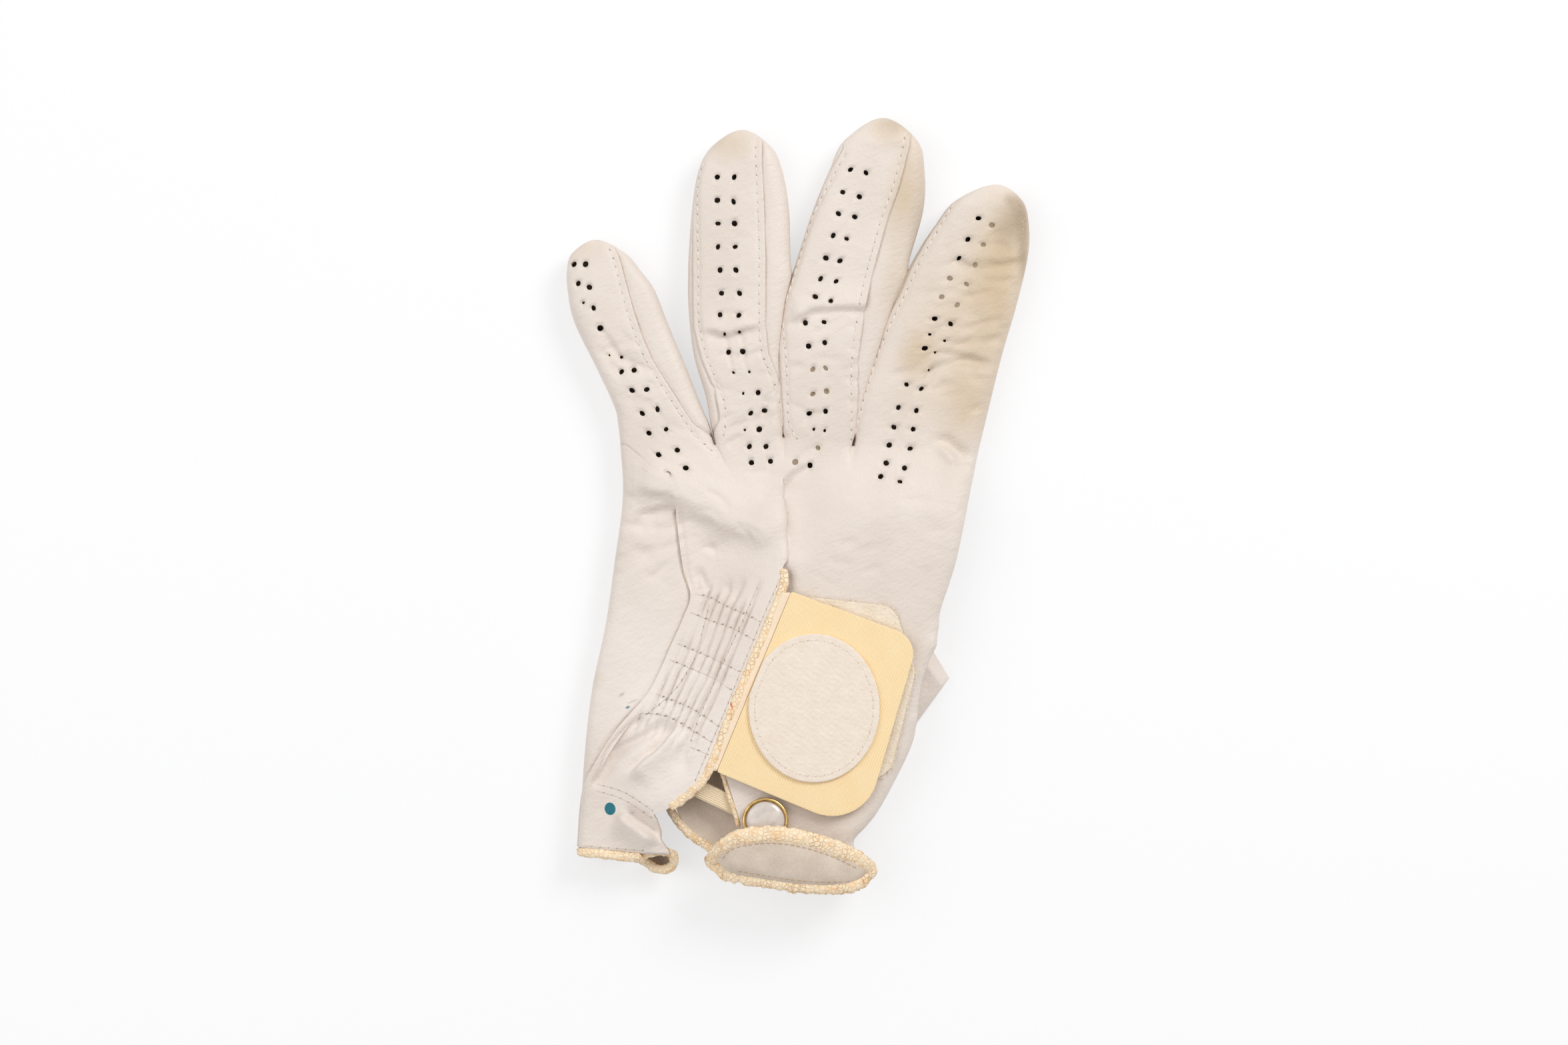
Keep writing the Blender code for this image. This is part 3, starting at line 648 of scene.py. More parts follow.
@dataclass(frozen=True)
class BindingFinish:
    """Coated edge tape whose surface has cracked and yellowed."""

    name: str = "cracked_edge_tape"
    cream: tuple = (1.0, 0.81, 0.57)
    peach: tuple = (0.97, 0.68, 0.40)
    crack: tuple = (0.60, 0.37, 0.19)
    marks: tuple = (
        StainOrPaintedLight((-18.8, -57.3), (0.35, 1.3), RED, 0.8, 0.3, 0.5),
        StainOrPaintedLight((-17.7, -59.6), (0.35, 0.8), RED, 0.8, 0.3, 0.5),
    )

    def make(self) -> Material:
        """Builds the material."""
        s = Shader(self.name)
        cracks = s.cells(1.25, "DISTANCE_TO_EDGE")
        worn = s.noise(2.2, 5)
        colour = s.mix(worn.over(0.45, 0.68), self.cream, self.peach)
        line = (1 - cracks.over(0.0, 0.1)) * s.noise(5, 3).over(0.42, 0.62)
        colour = s.mix(line * 0.7, colour, self.crack)
        for mark in self.marks:
            colour = s.mix(s.spot(mark) * mark.strength, colour, mark.colour)
        normal = s.bump(cracks.over(0.0, 0.15) + worn * 0.8, 0.12)
        return s.done(base_color=colour, roughness=worn * 0.3 + 0.5, normal=normal)


@dataclass(frozen=True)
class RibFinish:
    """Woven tape with straight ribs."""

    name: str
    colour: tuple
    shade: tuple
    pitch: float
    turn: float
    depth: float

    def make(self) -> Material:
        """Builds the material."""
        s = Shader(self.name)
        ribs = s.ribs(self.pitch, self.turn, 0.6)
        across = s.ribs(self.pitch * 0.8, self.turn + math.pi / 2, 0.9)
        tone = ribs * 0.5 + s.noise(9, 4) * 0.5
        colour = s.mix(tone.over(0.2, 0.75), self.shade, self.colour)
        normal = s.bump(ribs + across * 0.35 + s.noise(0.35, 2) * 0.5, self.depth)
        return s.done(base_color=colour, roughness=0.85, normal=normal)


@dataclass(frozen=True)
class MetalFinish:
    """Plain metal with light wear."""

    name: str
    colour: tuple
    shade: tuple
    roughness: float

    def make(self) -> Material:
        """Builds the material."""
        s = Shader(self.name)
        worn = s.noise(1.3, 5)
        colour = s.mix(worn.over(0.4, 0.7), self.colour, self.shade)
        return s.done(base_color=colour, metallic=1.0, roughness=worn * 0.3 + self.roughness,
                      normal=s.bump(s.noise(0.25, 2), 0.01))


@dataclass(frozen=True)
class PearlFinish:
    """White pearly cap with soft swirls."""

    name: str = "pearl_cap"
    colour: tuple = (0.76, 0.69, 0.63)
    shade: tuple = (0.62, 0.56, 0.52)

    def make(self) -> Material:
        """Builds the material."""
        s = Shader(self.name)
        swirl = s.noise(5.5, 2, (1.0, 0.55, 1.0), 0.7)
        colour = s.mix(swirl.over(0.38, 0.66), self.colour, self.shade)
        return s.done(base_color=colour, roughness=swirl * 0.1 + 0.16, coat_weight=0.6, coat_roughness=0.08)


def dressed(finish: Any) -> Any:
    """Field that holds a finish's material."""
    return field(default_factory=finish.make)


@dataclass
class Finishes:
    """All materials of the glove, made once."""

    leather: Material = dressed(LeatherFinish())
    suede: Material = dressed(NapFinish("suede_inside", (0.80, 0.68, 0.57), (0.64, 0.53, 0.43), 0.5, 0.1))
    binding: Material = dressed(BindingFinish())
    elastic: Material = dressed(
        RibFinish("elastic_tape", (1.0, 0.84, 0.61), (0.95, 0.75, 0.49), 0.6, 1.13, 0.15))
    tab: Material = dressed(RibFinish("ribbed_tab_tape", (1.0, 0.81, 0.51), (1.0, 0.72, 0.37), 0.7, -0.39, 0.1))
    hooks: Material = dressed(RibFinish("hook_tape", (0.88, 0.74, 0.48), (0.70, 0.55, 0.30), 1.3, 0.35, 0.3))
    pile: Material = dressed(NapFinish("loop_pile", (0.94, 0.83, 0.69), (0.84, 0.71, 0.55), 0.7, 0.4))
    felt: Material = dressed(NapFinish("wool_felt", (0.91, 0.80, 0.69), (0.85, 0.73, 0.61), 0.6, 0.16, 3.0))
    thread: Material = dressed(NapFinish("sewing_thread", (0.86, 0.78, 0.70), (0.76, 0.68, 0.60), 0.3, 0.05))
    # Painted shade: darker thread for the gathers and cuff rows, where the thread sinks into the leather's
    # shade.
    shaded_thread: Material = dressed(
        NapFinish("thread_painted_shade", (0.74, 0.66, 0.58), (0.62, 0.54, 0.46), 0.3, 0.05))
    # Painted shade: dark floor of the shut holes, standing in for the shade inside them.
    shaded_vent_floor: Material = dressed(
        NapFinish("vent_floor_painted_shade", (0.40, 0.31, 0.22), (0.31, 0.235, 0.165), 0.4, 0.03))
    raw_edge: Material = dressed(NapFinish("brown_raw_edge", (0.64, 0.47, 0.32), (0.50, 0.35, 0.23), 0.3, 0.05))
    # Painted shade: dark capsules sunk at the needle holes stand for the shade inside them.
    shaded_pit: Material = dressed(NapFinish("needle_hole_painted_shade", (0.46, 0.38, 0.31), (0.36, 0.29, 0.23), 0.3, 0.02))
    felt_shaded_pit: Material = dressed(
        NapFinish("felt_needle_hole_painted_shade", (0.74, 0.57, 0.45), (0.62, 0.46, 0.35), 0.3, 0.02))
    root: Material = dressed(NapFinish("tab_root_tape", (0.95, 0.80, 0.62), (0.91, 0.72, 0.52), 0.5, 0.05))
    brass: Material = dressed(MetalFinish("brass", (0.83, 0.60, 0.25), (0.55, 0.36, 0.12), 0.2))
    steel: Material = dressed(MetalFinish("spring_steel", (0.62, 0.60, 0.57), (0.45, 0.43, 0.40), 0.25))
    pearl: Material = dressed(PearlFinish())

    @property
    def hide(self) -> list:
        """Outer and inner side of the leather."""
        return [self.leather, self.suede]


# Shape of the worn leather


UNDER_LAP = 4.6
SLIT = smooth(((12, -4.0), (8, -4.0), (3.5, -4.3), (-0.3, -4.2), (-6, -3.6), (-13.5, -2.7), (-18.2, -3),
               (-24.3, -3), (-43, -10.6), (-59.3, -17.4), (-76.3, -24), (-82.5, -28.7)))


class Face(Enum):
    """Which of the hand's two faces is meant, and the way that it looks."""

    BACK = 1
    PALM = -1


@dataclass(frozen=True)
class Hand:
    """Outlines of the hand seen from above, in millimetres, and the heights of its outer leather.

    Outlines that run down the hand are (y, x) points, and outlines that run across it are (x, y) points.
    """

    left: Points = smooth((
        (17, -50.6), (1.4, -49.9), (-16.7, -52.2), (-34.9, -54.8), (-53, -58.6), (-71.2, -60.7),
        (-101.4, -62.6)))
    right: Points = smooth((
        (15.4, 51.6), (1.4, 48.6), (-16.7, 44.8), (-30.3, 40.5), (-35.3, 39.9), (-40, 39.0), (-44, 37.2),
        (-50, 35.2), (-58.7, 33.8), (-68, 32.5), (-80.6, 26.6), (-88.2, 22.2), (-92, 19.2), (-95.7, 15.9),
        (-99, 16.6), (-105, 21.6), (-112, 22.3)))
    wrap_seam: Points = smooth((
        (17, -50.4), (10, -42), (5, -35.6), (1.8, -33.8), (-0.9, -33.6), (-6, -33.1), (-12, -32.4),
        (-19, -31.3), (-26.4, -29.3), (-32.4, -31.2), (-39.6, -34.4), (-53.4, -41), (-65, -50.7),
        (-73.8, -56.3), (-83, -60.4), (-101.4, -62)))
    slit_left: Points = (
        *SLIT, (-87.2, -35.3), (-88.6, -40.2), (-92.5, -39.7), (-95.7, -38.8), (-98.5, -36.8),
        (-101.5, -35.4))
    slit_right: Points = (*((y, x - UNDER_LAP * ramp(y, 6, -3)) for y, x in SLIT if y > -56), (-70, -23.4),
                          (-76.3, -22.4), (-86.9, -19.1), (-92, -17.4), (-101, -20))
    palm_wrist: Points = (
        (-62.6, -100), (-55, -98.4), (-47, -92.5), (-41, -86.6), (-37.6, -86.6), (-35.2, -90.8), (-32.6, -94),
        (-29.4, -96.6), (-25.5, -99), (-13, -105.4), (4, -109.2), (15, -109.2), (22.3, -105))
    left_cuff: Points = ((-62.3, -99.6), (-52, -100.6), (-42.5, -101.2), (-35, -101.4))
    lip: Points = (
        (-23.7, -101.6), (-22.1, -98.6), (-19.1, -96.1), (-15.3, -94.5), (-7.8, -93.6), (0.3, -94.6),
        (8.9, -97.3), (16.4, -100.6), (20.4, -104.4))
    lip_low: Points = (
        (-23.7, -101.6), (-21.6, -103.9), (-16.8, -104.9), (-9.8, -106.0), (-0.8, -107.5), (7.4, -108.0),
        (14.4, -107.8), (18.8, -106.2), (20.4, -104.4))
    raise_from: tuple = (30.0, -42.0)
    raise_to: tuple = (2.0, -84.0)
    raise_full: float = 38.0
    raise_none: float = 60.0
    ground_top: float = 11.0
    raised_bottom: float = 7.8
    raised_top: float = 16.4
    raised_middle: float = 12.1
    slit_top: float = -18.2
    flap_rise: tuple = (1.5, 0.9)
    flap_roll: float = 2.3
    roll_width: float = 3.2
    tuck_depth: tuple = (0.45, 0.75)
    lip_base: float = 14.6
    lip_rise: float = 11.6

    def left_edge(self, y: Array) -> Array:
        """Fold at the little finger's side."""
        return along(self.left, y)

    def right_edge(self, y: Array) -> Array:
        """Fold at the index finger's side."""
        return along(self.right, y)

    def raised(self, x: Array, y: Array) -> Array:
        """How far the folded thumb holds the hand up, from 0 to 1."""
        start, run = np.array(self.raise_from), np.subtract(self.raise_to, self.raise_from)
        t = np.clip(((x - start[0]) * run[0] + (y - start[1]) * run[1]) / (run @ run), 0, 1)
        distance = np.hypot(x - start[0] - t * run[0], y - start[1] - t * run[1])
        return 1 - ramp(distance, self.raise_full, self.raise_none)

    def height(self, x: Array, y: Array, face: Face = Face.BACK) -> Array:
        """Height of the outer leather on one face."""
        lift = self.raised(x, y)
        top = self.ground_top + (self.raised_top - self.ground_top) * lift
        low = self.raised_bottom * lift
        left, right = self.left_edge(y), self.right_edge(y)
        across = np.clip(np.abs((2 * x - left - right) / (right - left)), 0, 1)
        swell = np.minimum(1, 1.25 * (1 - across**5) ** 0.2)
        return (top + low) / 2 + face.value * (top - low) / 2 * swell

    def palm_height(self, x: Array, y: Array) -> Array:
        """Height of the palm's outer leather."""
        return self.height(x, y, Face.PALM)

    def flap_height(self, x: Array, y: Array) -> Array:
        """Height of the gathered flap, which lies higher along the slit."""
        off = np.clip(along(self.slit_left, y) - x, 0, None)
        upper, lower = self.flap_rise
        rise = (upper * ramp(y, 7, -3) + lower * ramp(y, -17, -26)) * ramp(y, -92, -78)
        rolled = 1 - np.sqrt(1 - np.clip(1 - off / self.roll_width, 0, 1) ** 2)
        rolled = self.flap_roll * rolled * ramp(y, 7, -1) * ramp(y, -22, -18)
        return self.height(x, y) + rise * np.exp(-((off / 12) ** 2)) - rolled

    def tucked_height(self, x: Array, y: Array) -> Array:
        """Height of the plain flap, which runs on under the gathered one."""
        under = ramp(along(self.slit_left, y) - x, -3, 1)
        upper, lower = self.tuck_depth
        deep = upper * ramp(y, 7, -2) + lower * ramp(y, -16, -22)
        return self.height(x, y) - deep * under * ramp(y, -84, -76)

    def lip_swell(self, share: Array) -> Array:
        """How strongly the wrist lip flares, from 0 at its corners to 1 in its middle."""
        return np.sin(math.pi * np.clip(share, 0, 1)) ** 0.45

    def lip_rows(self, share: Array, params: Array) -> list:
        """Rows of the right flap from its flat part out and up into the flared lip."""
        curl = self.lip_swell(share)
        edge = np.column_stack([spline(self.lip, share), self.lip_base + self.lip_rise * curl])
        start = edge.copy()
        start[:, 1] += 0.5 * curl + 6 * (1 - curl)
        first = beside(self.slit_right, start[:, 1], 1.9)
        start[:, 0] = first + share * (self.right_edge(start[:, 1]) - first)
        start[:, 2] = self.tucked_height(start[:, 0], start[:, 1])
        out = edge + (start - edge) * 0.5 * (1 - curl)[:, None]
        out[:, 1] -= (edge[:, 1] - along(self.lip_low, edge[:, 0])) / 0.75
        up = out.copy()
        out[:, 2] = start[:, 2] + (edge[:, 2] - start[:, 2]) * 0.4 * (1 - curl)
        up[:, 2] = edge[:, 2] - 1.5 * curl
        return [start * (1 - t) ** 3 + out * 3 * t * (1 - t) ** 2 + up * 3 * t**2 * (1 - t) + edge * t**3
                for t in params]


HAND = Hand()


class Edge(Enum):
    """Which of a finger's two long edges is meant."""

    LEFT = 0
    RIGHT = 1


@dataclass(frozen=True)
class Finger:
    """One finger: base corners, outline rows of (y, left x, right x), tip, and its top seams as (x, y)."""

    name: str
    base: Points
    rows: Points
    tip: Sequence[float]
    seams: tuple
    columns: int = 37

    MID = 5.5
    STRIP = 2.4
    FULL_WIDTH = 22
    TIP_TURN = 0.9

    def params(self, pitch: float) -> Array:
        """Row places from the base, 0, to the tip, 1, at about a pitch."""
        fine = np.linspace(0, 1, 400)
        left = self.edges(fine)[0]
        run = run_along(left)
        return np.interp(np.linspace(0, run[-1], round(run[-1] / pitch) + 1), run, fine)

    def edges(self, params: Array) -> tuple:
        """Left and right edge points: the outline runs on round the tip."""
        left = [self.base[0]] + [(row[1], row[0]) for row in self.rows]
        right = [self.base[1]] + [(row[2], row[0]) for row in self.rows]
        outline = left + [self.tip] + right[::-1]
        return spline(outline, params / 2), spline(outline, 1 - params / 2)

    def half_height(self, params: Array) -> Array:
        """Half the finger's thickness along it."""
        left, right = self.edges(params)
        return self.MID * np.minimum(1, np.linalg.norm(right - left, axis=1) / self.FULL_WIDTH) ** 0.5

    def side_turn(self, params: Array, edge: Edge) -> Array:
        """Angle of the finger's very edge."""
        return np.full(len(params), 0.0 if edge is Edge.RIGHT else math.pi)

    def seam_turn(self, params: Array, edge: Edge, lap: float) -> Array:
        """Angle round the section at which the back's leather ends.

        Args:
            params: Row places.
            edge: Which seam.
            lap: How far the leather runs on past the row of stitches.

        Returns:
            Angles from 0 at the right side over the top to pi at the left side.
        """
        side = 1 if edge is Edge.RIGHT else -1
        if self.seams[edge.value] is None:
            return self.side_turn(params, edge) - side * 0.002
        left, right = self.edges(params)
        middle, half = (left + right) / 2, np.maximum((right - left)[:, 0] / 2, 1e-6)
        seam = np.array(sorted((y, x) for x, y in self.seams[edge.value]))
        x = np.interp(middle[:, 1], seam[:, 0], seam[:, 1]) + side * lap
        across = np.clip(side * (x - middle[:, 0]) / half, 0.05, 0.985)
        root = 1 - ramp(middle[:, 1] - middle[0, 1], 1, 6)
        across = across + (0.97 - across) * root
        tip = ramp(params, 0.95, 1)
        turn = np.arccos(across**2)
        turn = turn + (self.TIP_TURN - turn) * tip * (turn < self.TIP_TURN)
        return turn if edge is Edge.RIGHT else math.pi - turn

    def low_turn(self, params: Array, edge: Edge) -> Array:
        """Angle at which the underside's leather ends on that side."""
        if self.seams[edge.value] is None:
            return self.side_turn(params, edge)
        strip = self.STRIP * np.clip((0.875 - params) / 0.26, 0, 1) ** 0.7
        turn = np.arcsin(np.minimum(0.9, strip / np.maximum(self.half_height(params), 0.1)) ** 2)
        return -turn if edge is Edge.RIGHT else math.pi + turn

    def tube(self, params: Array, start: Array, stop: Array, columns: int,
             inset: Course = np.zeros_like) -> Array:
        """Grid over the finger between two angles round its section.

        Args:
            params: Row places.
            start: Angle of each row's first column.
            stop: Angle of each row's last column.
            columns: How many columns.
            inset: How far inside the outer leather a point lies, by its distance from the first column.

        Returns:
            Rows of columns of points.
        """
        left, right = self.edges(params)
        middle, half = (left + right) / 2, (right - left) / 2
        width = np.linalg.norm(half, axis=1)
        height = self.half_height(params)
        rows = []
        for i in range(len(params)):
            turn = np.linspace(start[i], stop[i], 300)
            c, s = np.cos(turn), np.sin(turn)
            across = np.sign(c) * np.abs(c) ** 0.5
            rise = np.clip(1.06 * np.sign(s) * np.abs(s) ** 0.5, -1, 1)
            steps = np.hypot(np.diff(across) * width[i], np.diff(rise) * height[i])
            run = np.concatenate([[0], np.cumsum(steps)])
            places = np.linspace(0, run[-1], columns)
            across, rise = np.interp(places, run, across), np.interp(places, run, rise)
            inside = inset(places)
            across = across * np.clip(1 - inside * across**2 / max(width[i], 1.0), 0, 1)
            flat = middle[i] + across[:, None] * half[i]
            lower = np.clip(height[i] - inside * np.abs(rise) ** 2, 0, None)
            rows.append(np.column_stack([flat, self.MID + lower * rise]))
        return np.array(rows)


FINGERS = (
    Finger("little", ((-50.6, 17.0), (-23.6, 16.4)),
           ((22, -51.2, -25.2), (27, -52.2, -27.4), (37.7, -57.1, -31.6), (51.3, -63.7, -37.2),
            (60.4, -65.6, -40.8), (66, -65.8, -44.8), (71, -64.2, -49.2)), (-57.5, 74.8),
           (None, ((-54.6, 74.1), (-52.4, 69.1), (-48.6, 54.7), (-45.9, 46.8), (-42.9, 40), (-33.5, 25.2),
                   (-29.9, 19.8), (-24.6, 14.8)))),
    Finger("ring", ((-23.6, 16.4), (-4.1, 18.6)),
           ((22, -24.8, -3.7), (30, -26.2, -4.3), (42.2, -29.7, -5.0), (55.9, -31.2, -3.6), (64, -31.3, -1.8),
            (69.5, -31.2, -2.1), (83.1, -30.2, -2.5), (94, -28.4, -4.3), (101.2, -24.6, -7.6)), (-15.9, 106.1),
           (((-26.5, 97), (-28.5, 89.7), (-28.4, 67.4), (-28, 50.4), (-25.5, 40.4), (-21.9, 31.5),
             (-20.5, 25.2), (-21, 19)),
            ((-12, 106), (-12, 97), (-11.3, 82.6), (-11, 69.1), (-11, 51.2), (-10.2, 42.3), (-7.6, 36),
             (-5.3, 28.8), (-4.3, 20.7)))),
    Finger("middle", ((-4.1, 18.6), (15.6, 16.0)),
           ((22, -5.4, 17.7), (30, -6.0, 19.3), (42.2, -5.8, 22.8), (55.9, -4.3, 27.4), (64, -2.0, 30.9),
            (69.5, -0.2, 31.9), (83.1, 4.2, 35.7), (94, 8.7, 36.1), (103, 13.2, 34.0)), (24.2, 109.5),
           (((14.5, 100.5), (9.5, 91.6), (5.1, 83.5), (2.4, 76.3), (0.6, 70), (-2.1, 61.2), (-4.3, 53),
             (-3.4, 40.5), (-3, 31.5), (-2.6, 22.6), (-0.4, 18.1)),
            ((30.6, 106), (29.7, 100.5), (27, 89.8), (23.8, 80.8), (21.2, 71.8), (18.9, 62.9), (17.2, 54.8),
             (15.3, 40.5), (15.3, 22.6), (14.9, 15.4)))),
    Finger("index", ((15.6, 16.0), (51.6, 15.4)),
           ((22, 15.6, 53.2), (28.6, 16.9, 54.8), (42.2, 21.8, 58.2), (55.9, 26.6, 62.2), (69.5, 33.1, 65.4),
            (78.5, 38.8, 65.8), (86, 45.0, 63.8)), (56.3, 90.5),
           (((49, 89), (44.5, 85.3), (39.1, 76.3), (34.6, 68.3), (31, 60.2), (28.4, 54.8), (25.7, 49.4),
             (22.1, 40.5), (20.2, 34.2), (18.5, 28.8), (16.6, 20.7), (15.9, 16.2)), None)),
)


def lapped(line: Points, height: float, reach: float) -> tuple:
    """A fold whose left side, as seen along its line, lies over its right side."""
    return Fold(line, height, reach, 0.6), Fold(line, -0.6 * height, 0.5, 2.4)


def wrinkles(seed: int, count: int, low: Points, high: Points, turn: float) -> tuple:
    """Short shallow creases scattered over part of the leather.

    Args:
        seed: Which pattern.
        count: How many creases.
        low: Lower left corner of the part.
        high: Upper right corner of the part.
        turn: Main direction of the creases, in radians.

    Returns:
        The creases.
    """
    draw = np.random.default_rng(seed)
    made = []
    for _ in range(count):
        middle = draw.uniform(low, high)
        angle = turn + draw.normal(0, 0.35)
        run = np.array((math.cos(angle), math.sin(angle))) * draw.uniform(2.5, 6)
        bow = np.array((-run[1], run[0])) * draw.uniform(-0.3, 0.3)
        line = (middle - run, middle + bow, middle + run)
        made.append(Fold(line, -draw.uniform(0.12, 0.3), draw.uniform(0.5, 0.8), draw.uniform(0.8, 1.6), 3))
    return tuple(made)


FOLDS = (
    *lapped(((-28.7, 48.5), (-25.0, 48.5), (-20.2, 47.7), (-15.5, 48.9), (-11.2, 50.2), (-9.5, 50.4)), 0.8, 5),
    Fold(((-9.5, 50.4), (-7.0, 53.6), (-4.2, 55.9)), -0.5, 0.7, 1.5),
    Fold(((-9.5, 50.4), (-7.4, 49.4), (-5.5, 50.0)), -0.4, 0.7, 1.2, 2),
    Fold(((-26.3, 52.3), (-21.6, 53.4), (-16.4, 53.8), (-10.8, 52.8)), -0.35, 0.8, 1.4),
    Fold(((-20.6, 47.7), (-20.0, 44.1), (-19.7, 42.2)), -0.35, 0.6, 0.6, 2),
    Fold(((-16.1, 48.1), (-15.5, 43.2)), -0.35, 0.6, 0.6, 2),
    Fold(((-19.5, 41.9), (-18.7, 37.1)), -0.35, 0.6, 0.6, 2),
    Fold(((-15.5, 41.3), (-14.6, 37.0)), -0.35, 0.6, 0.6, 2),
    Fold(((-21.2, 19.2), (-18.3, 21.5), (-10.8, 24.1), (-6.0, 25.2)), -0.4, 1.0, 2.0),
    Fold(((-21.6, 15.4), (-17.4, 18.2), (-13.6, 19.6)), -0.35, 0.8, 1.6, 3),
    *lapped(((-3.6, 52.1), (0.6, 52.5), (2.5, 53.8), (4.7, 54.7), (10.0, 55.1), (15.7, 55.3), (21.4, 54.7),
             (26.1, 54.3)), 0.8, 5),
    Fold(((-0.2, 58.3), (5.3, 58.9)), -0.3, 0.7, 1.2, 3),
    Fold(((0.9, 21.5), (3.4, 24.9), (7.2, 26.0)), -0.4, 0.8, 1.4, 3),
    Fold(((-1.3, 12.0), (3.4, 14.8), (8.1, 17.7)), -0.35, 0.9, 1.6, 3),
    *lapped(((-4.4, 1.0), (-4.2, 4.0), (-3.2, 6.6), (-0.8, 8.9), (2.6, 10.6), (6.0, 11.4)), 0.7, 4),
    *lapped(((41.8, 70.6), (45.6, 68.7), (48.8, 68.0), (50.7, 67.2), (53.5, 67.4), (59.2, 68.5), (65.4, 69.8)),
            0.5, 4),
    Fold(((38.4, 42.8), (44.0, 42.1), (50.7, 40.4), (56.7, 38.1)), -0.6, 0.8, 2.2),
    Fold(((44.4, 49.1), (50.7, 50.2), (55.8, 52.1)), -0.35, 0.7, 1.5),
    Fold(((45.9, 46.6), (57.3, 44.9)), -0.3, 0.7, 1.6),
    Fold(((34.2, 37.9), (37.4, 37.3), (40.3, 38.8), (45.9, 40.2), (53.5, 40.4)), -0.55, 0.8, 1.8),
    Fold(((37.4, 31.5), (42.2, 33.2), (46.3, 34.7)), -0.4, 0.8, 1.8),
    Fold(((45.9, 36.6), (55.4, 34.7)), -0.3, 0.8, 1.6),
    Fold(((25.1, 35.4), (29.9, 37.3), (33.1, 38.3)), -0.5, 0.8, 1.8),
    Fold(((38.4, 43.2), (35.0, 39.4), (31.2, 34.7)), -0.4, 0.7, 0.9, 3),
    Fold(((39.9, 40.4), (36.9, 34.7), (35.5, 30.9)), -0.35, 0.7, 0.9, 3),
    Fold(((38.0, 18.6), (42.2, 17.3), (45.9, 14.3), (50.1, 11.6)), -1.1, 1.4, 2.5),
    Fold(((38.4, 17.7), (43.1, 12.0), (46.3, 9.7)), 0.8, 3.0, 0.8),
    Fold(((46.9, 24.3), (50.1, 26.7), (53.9, 28.6)), -0.4, 0.8, 1.4),
    Fold(((44.0, 12.0), (50.1, 9.0)), -0.4, 0.8, 1.4, 3),
    Fold(((-56.1, 49.8), (-50.3, 41.3), (-40.1, 36.6)), -0.6, 1.0, 2.0),
    Fold(((-57.1, 45.1), (-52.4, 38.8), (-46.7, 36.2)), -0.35, 0.8, 1.4, 3),
    Fold(((-48.6, 6.0), (-42.9, 4.4), (-35.3, 2.9), (-29.7, 0.3), (-22.1, -4.1), (-16.4, -6.5), (-8.9, -8.8),
          (-4.2, -12.2)), 2.2, 10, 4.2, 8),
    Fold(((-48.6, -4.6), (-42.0, -2.7), (-37.2, -1.6), (-33.6, -1.2)), -0.8, 0.8, 2.0),
    Fold(((-48.6, -7.3), (-43.9, -5.8), (-37.2, -4.6)), -0.6, 0.8, 2.5),
    Fold(((-49.0, -12.9), (-44.8, -13.7), (-39.1, -15.6)), -0.5, 1.0, 2.5),
    Fold(((-47.6, 3.5), (-40.1, 1.6), (-34.4, 2.2)), -0.7, 1.0, 2.0),
    Fold(((-33.3, -1.2), (-33.5, -4.6), (-32.7, -9.2), (-31.6, -18.2), (-30.6, -23.0), (-29.5, -25.4)),
         -0.5, 0.6, 0.6, 3),
    Fold(((-28.7, -18.2), (-26.8, -22.0), (-25.5, -25.8)), -0.6, 0.9, 1.5, 3),
    Fold(((-19.1, -20.1), (-19.8, -23.9), (-21.2, -28.6)), -0.7, 0.9, 2.0),
    Fold(((-14.6, -20.5), (-17.4, -25.8), (-19.3, -30.0)), -0.6, 0.9, 1.8),
    Fold(((-9.6, -21.3), (-12.7, -26.2), (-14.6, -30.5)), -0.5, 0.9, 1.6),
    Fold(((-42.9, -59.8), (-47.5, -63.4), (-51.3, -67.8), (-53.8, -71.2), (-55.3, -75.6), (-57.5, -79.4),
          (-58.8, -81.9)), -1.0, 2.2, 0.8, 4),
    Fold(((-36.5, -60.6), (-42.4, -65.1), (-48.7, -68.5), (-52.5, -71.4), (-54.5, -74.2)), -1.2, 2.0, 1.0),
    *lapped(((-34.3, -62.3), (-36.2, -65.4), (-39.3, -69.2), (-43.1, -72.9), (-46.2, -76.1), (-48.1, -78.3)),
            1.7, 4),
    Fold(((-34.3, -62.3), (-36.2, -65.4), (-39.3, -69.2), (-43.1, -72.9)), -1.0, 0.9, 1.8, 3),
    Fold(((-31.5, -67.0), (-32.4, -72.3), (-30.8, -77.0)), -0.4, 1.5, 2.5, 4),
    Fold(((-51.6, -87.2), (-46.7, -90.5), (-38.9, -96.1)), 1.6, 0.7, 5.0, 4),
    Fold(((-50.6, -87.2), (-46.0, -90.3), (-38.3, -95.8)), -1.4, 2.2, 0.6, 4),
    Fold(((39.6, -36.0), (37.6, -46.0), (36.0, -56.0), (33.4, -66.0)), 0.8, 0.6, 2.5, 5),
    Fold(tuple((float(along(SLIT, y)) + 0.5, y) for y in (8, 4, 0, -6, -12, -17)), -0.6, 7.0, 0.5),
    *wrinkles(31, 12, (-29, 22), (-6, 52), 0.1),
    *wrinkles(32, 12, (-4, 20), (20, 52), 0.0),
    *wrinkles(33, 30, (40, 30), (60, 80), 0.15),
    *wrinkles(34, 14, (-52, 20), (-34, 48), -0.6),
    *wrinkles(35, 26, (-52, -32), (-34, 4), 0.1),
    *wrinkles(36, 18, (-30, -18), (-5, 12), -0.5),
    *wrinkles(37, 10, (5, -20), (45, 12), 0.4),
)


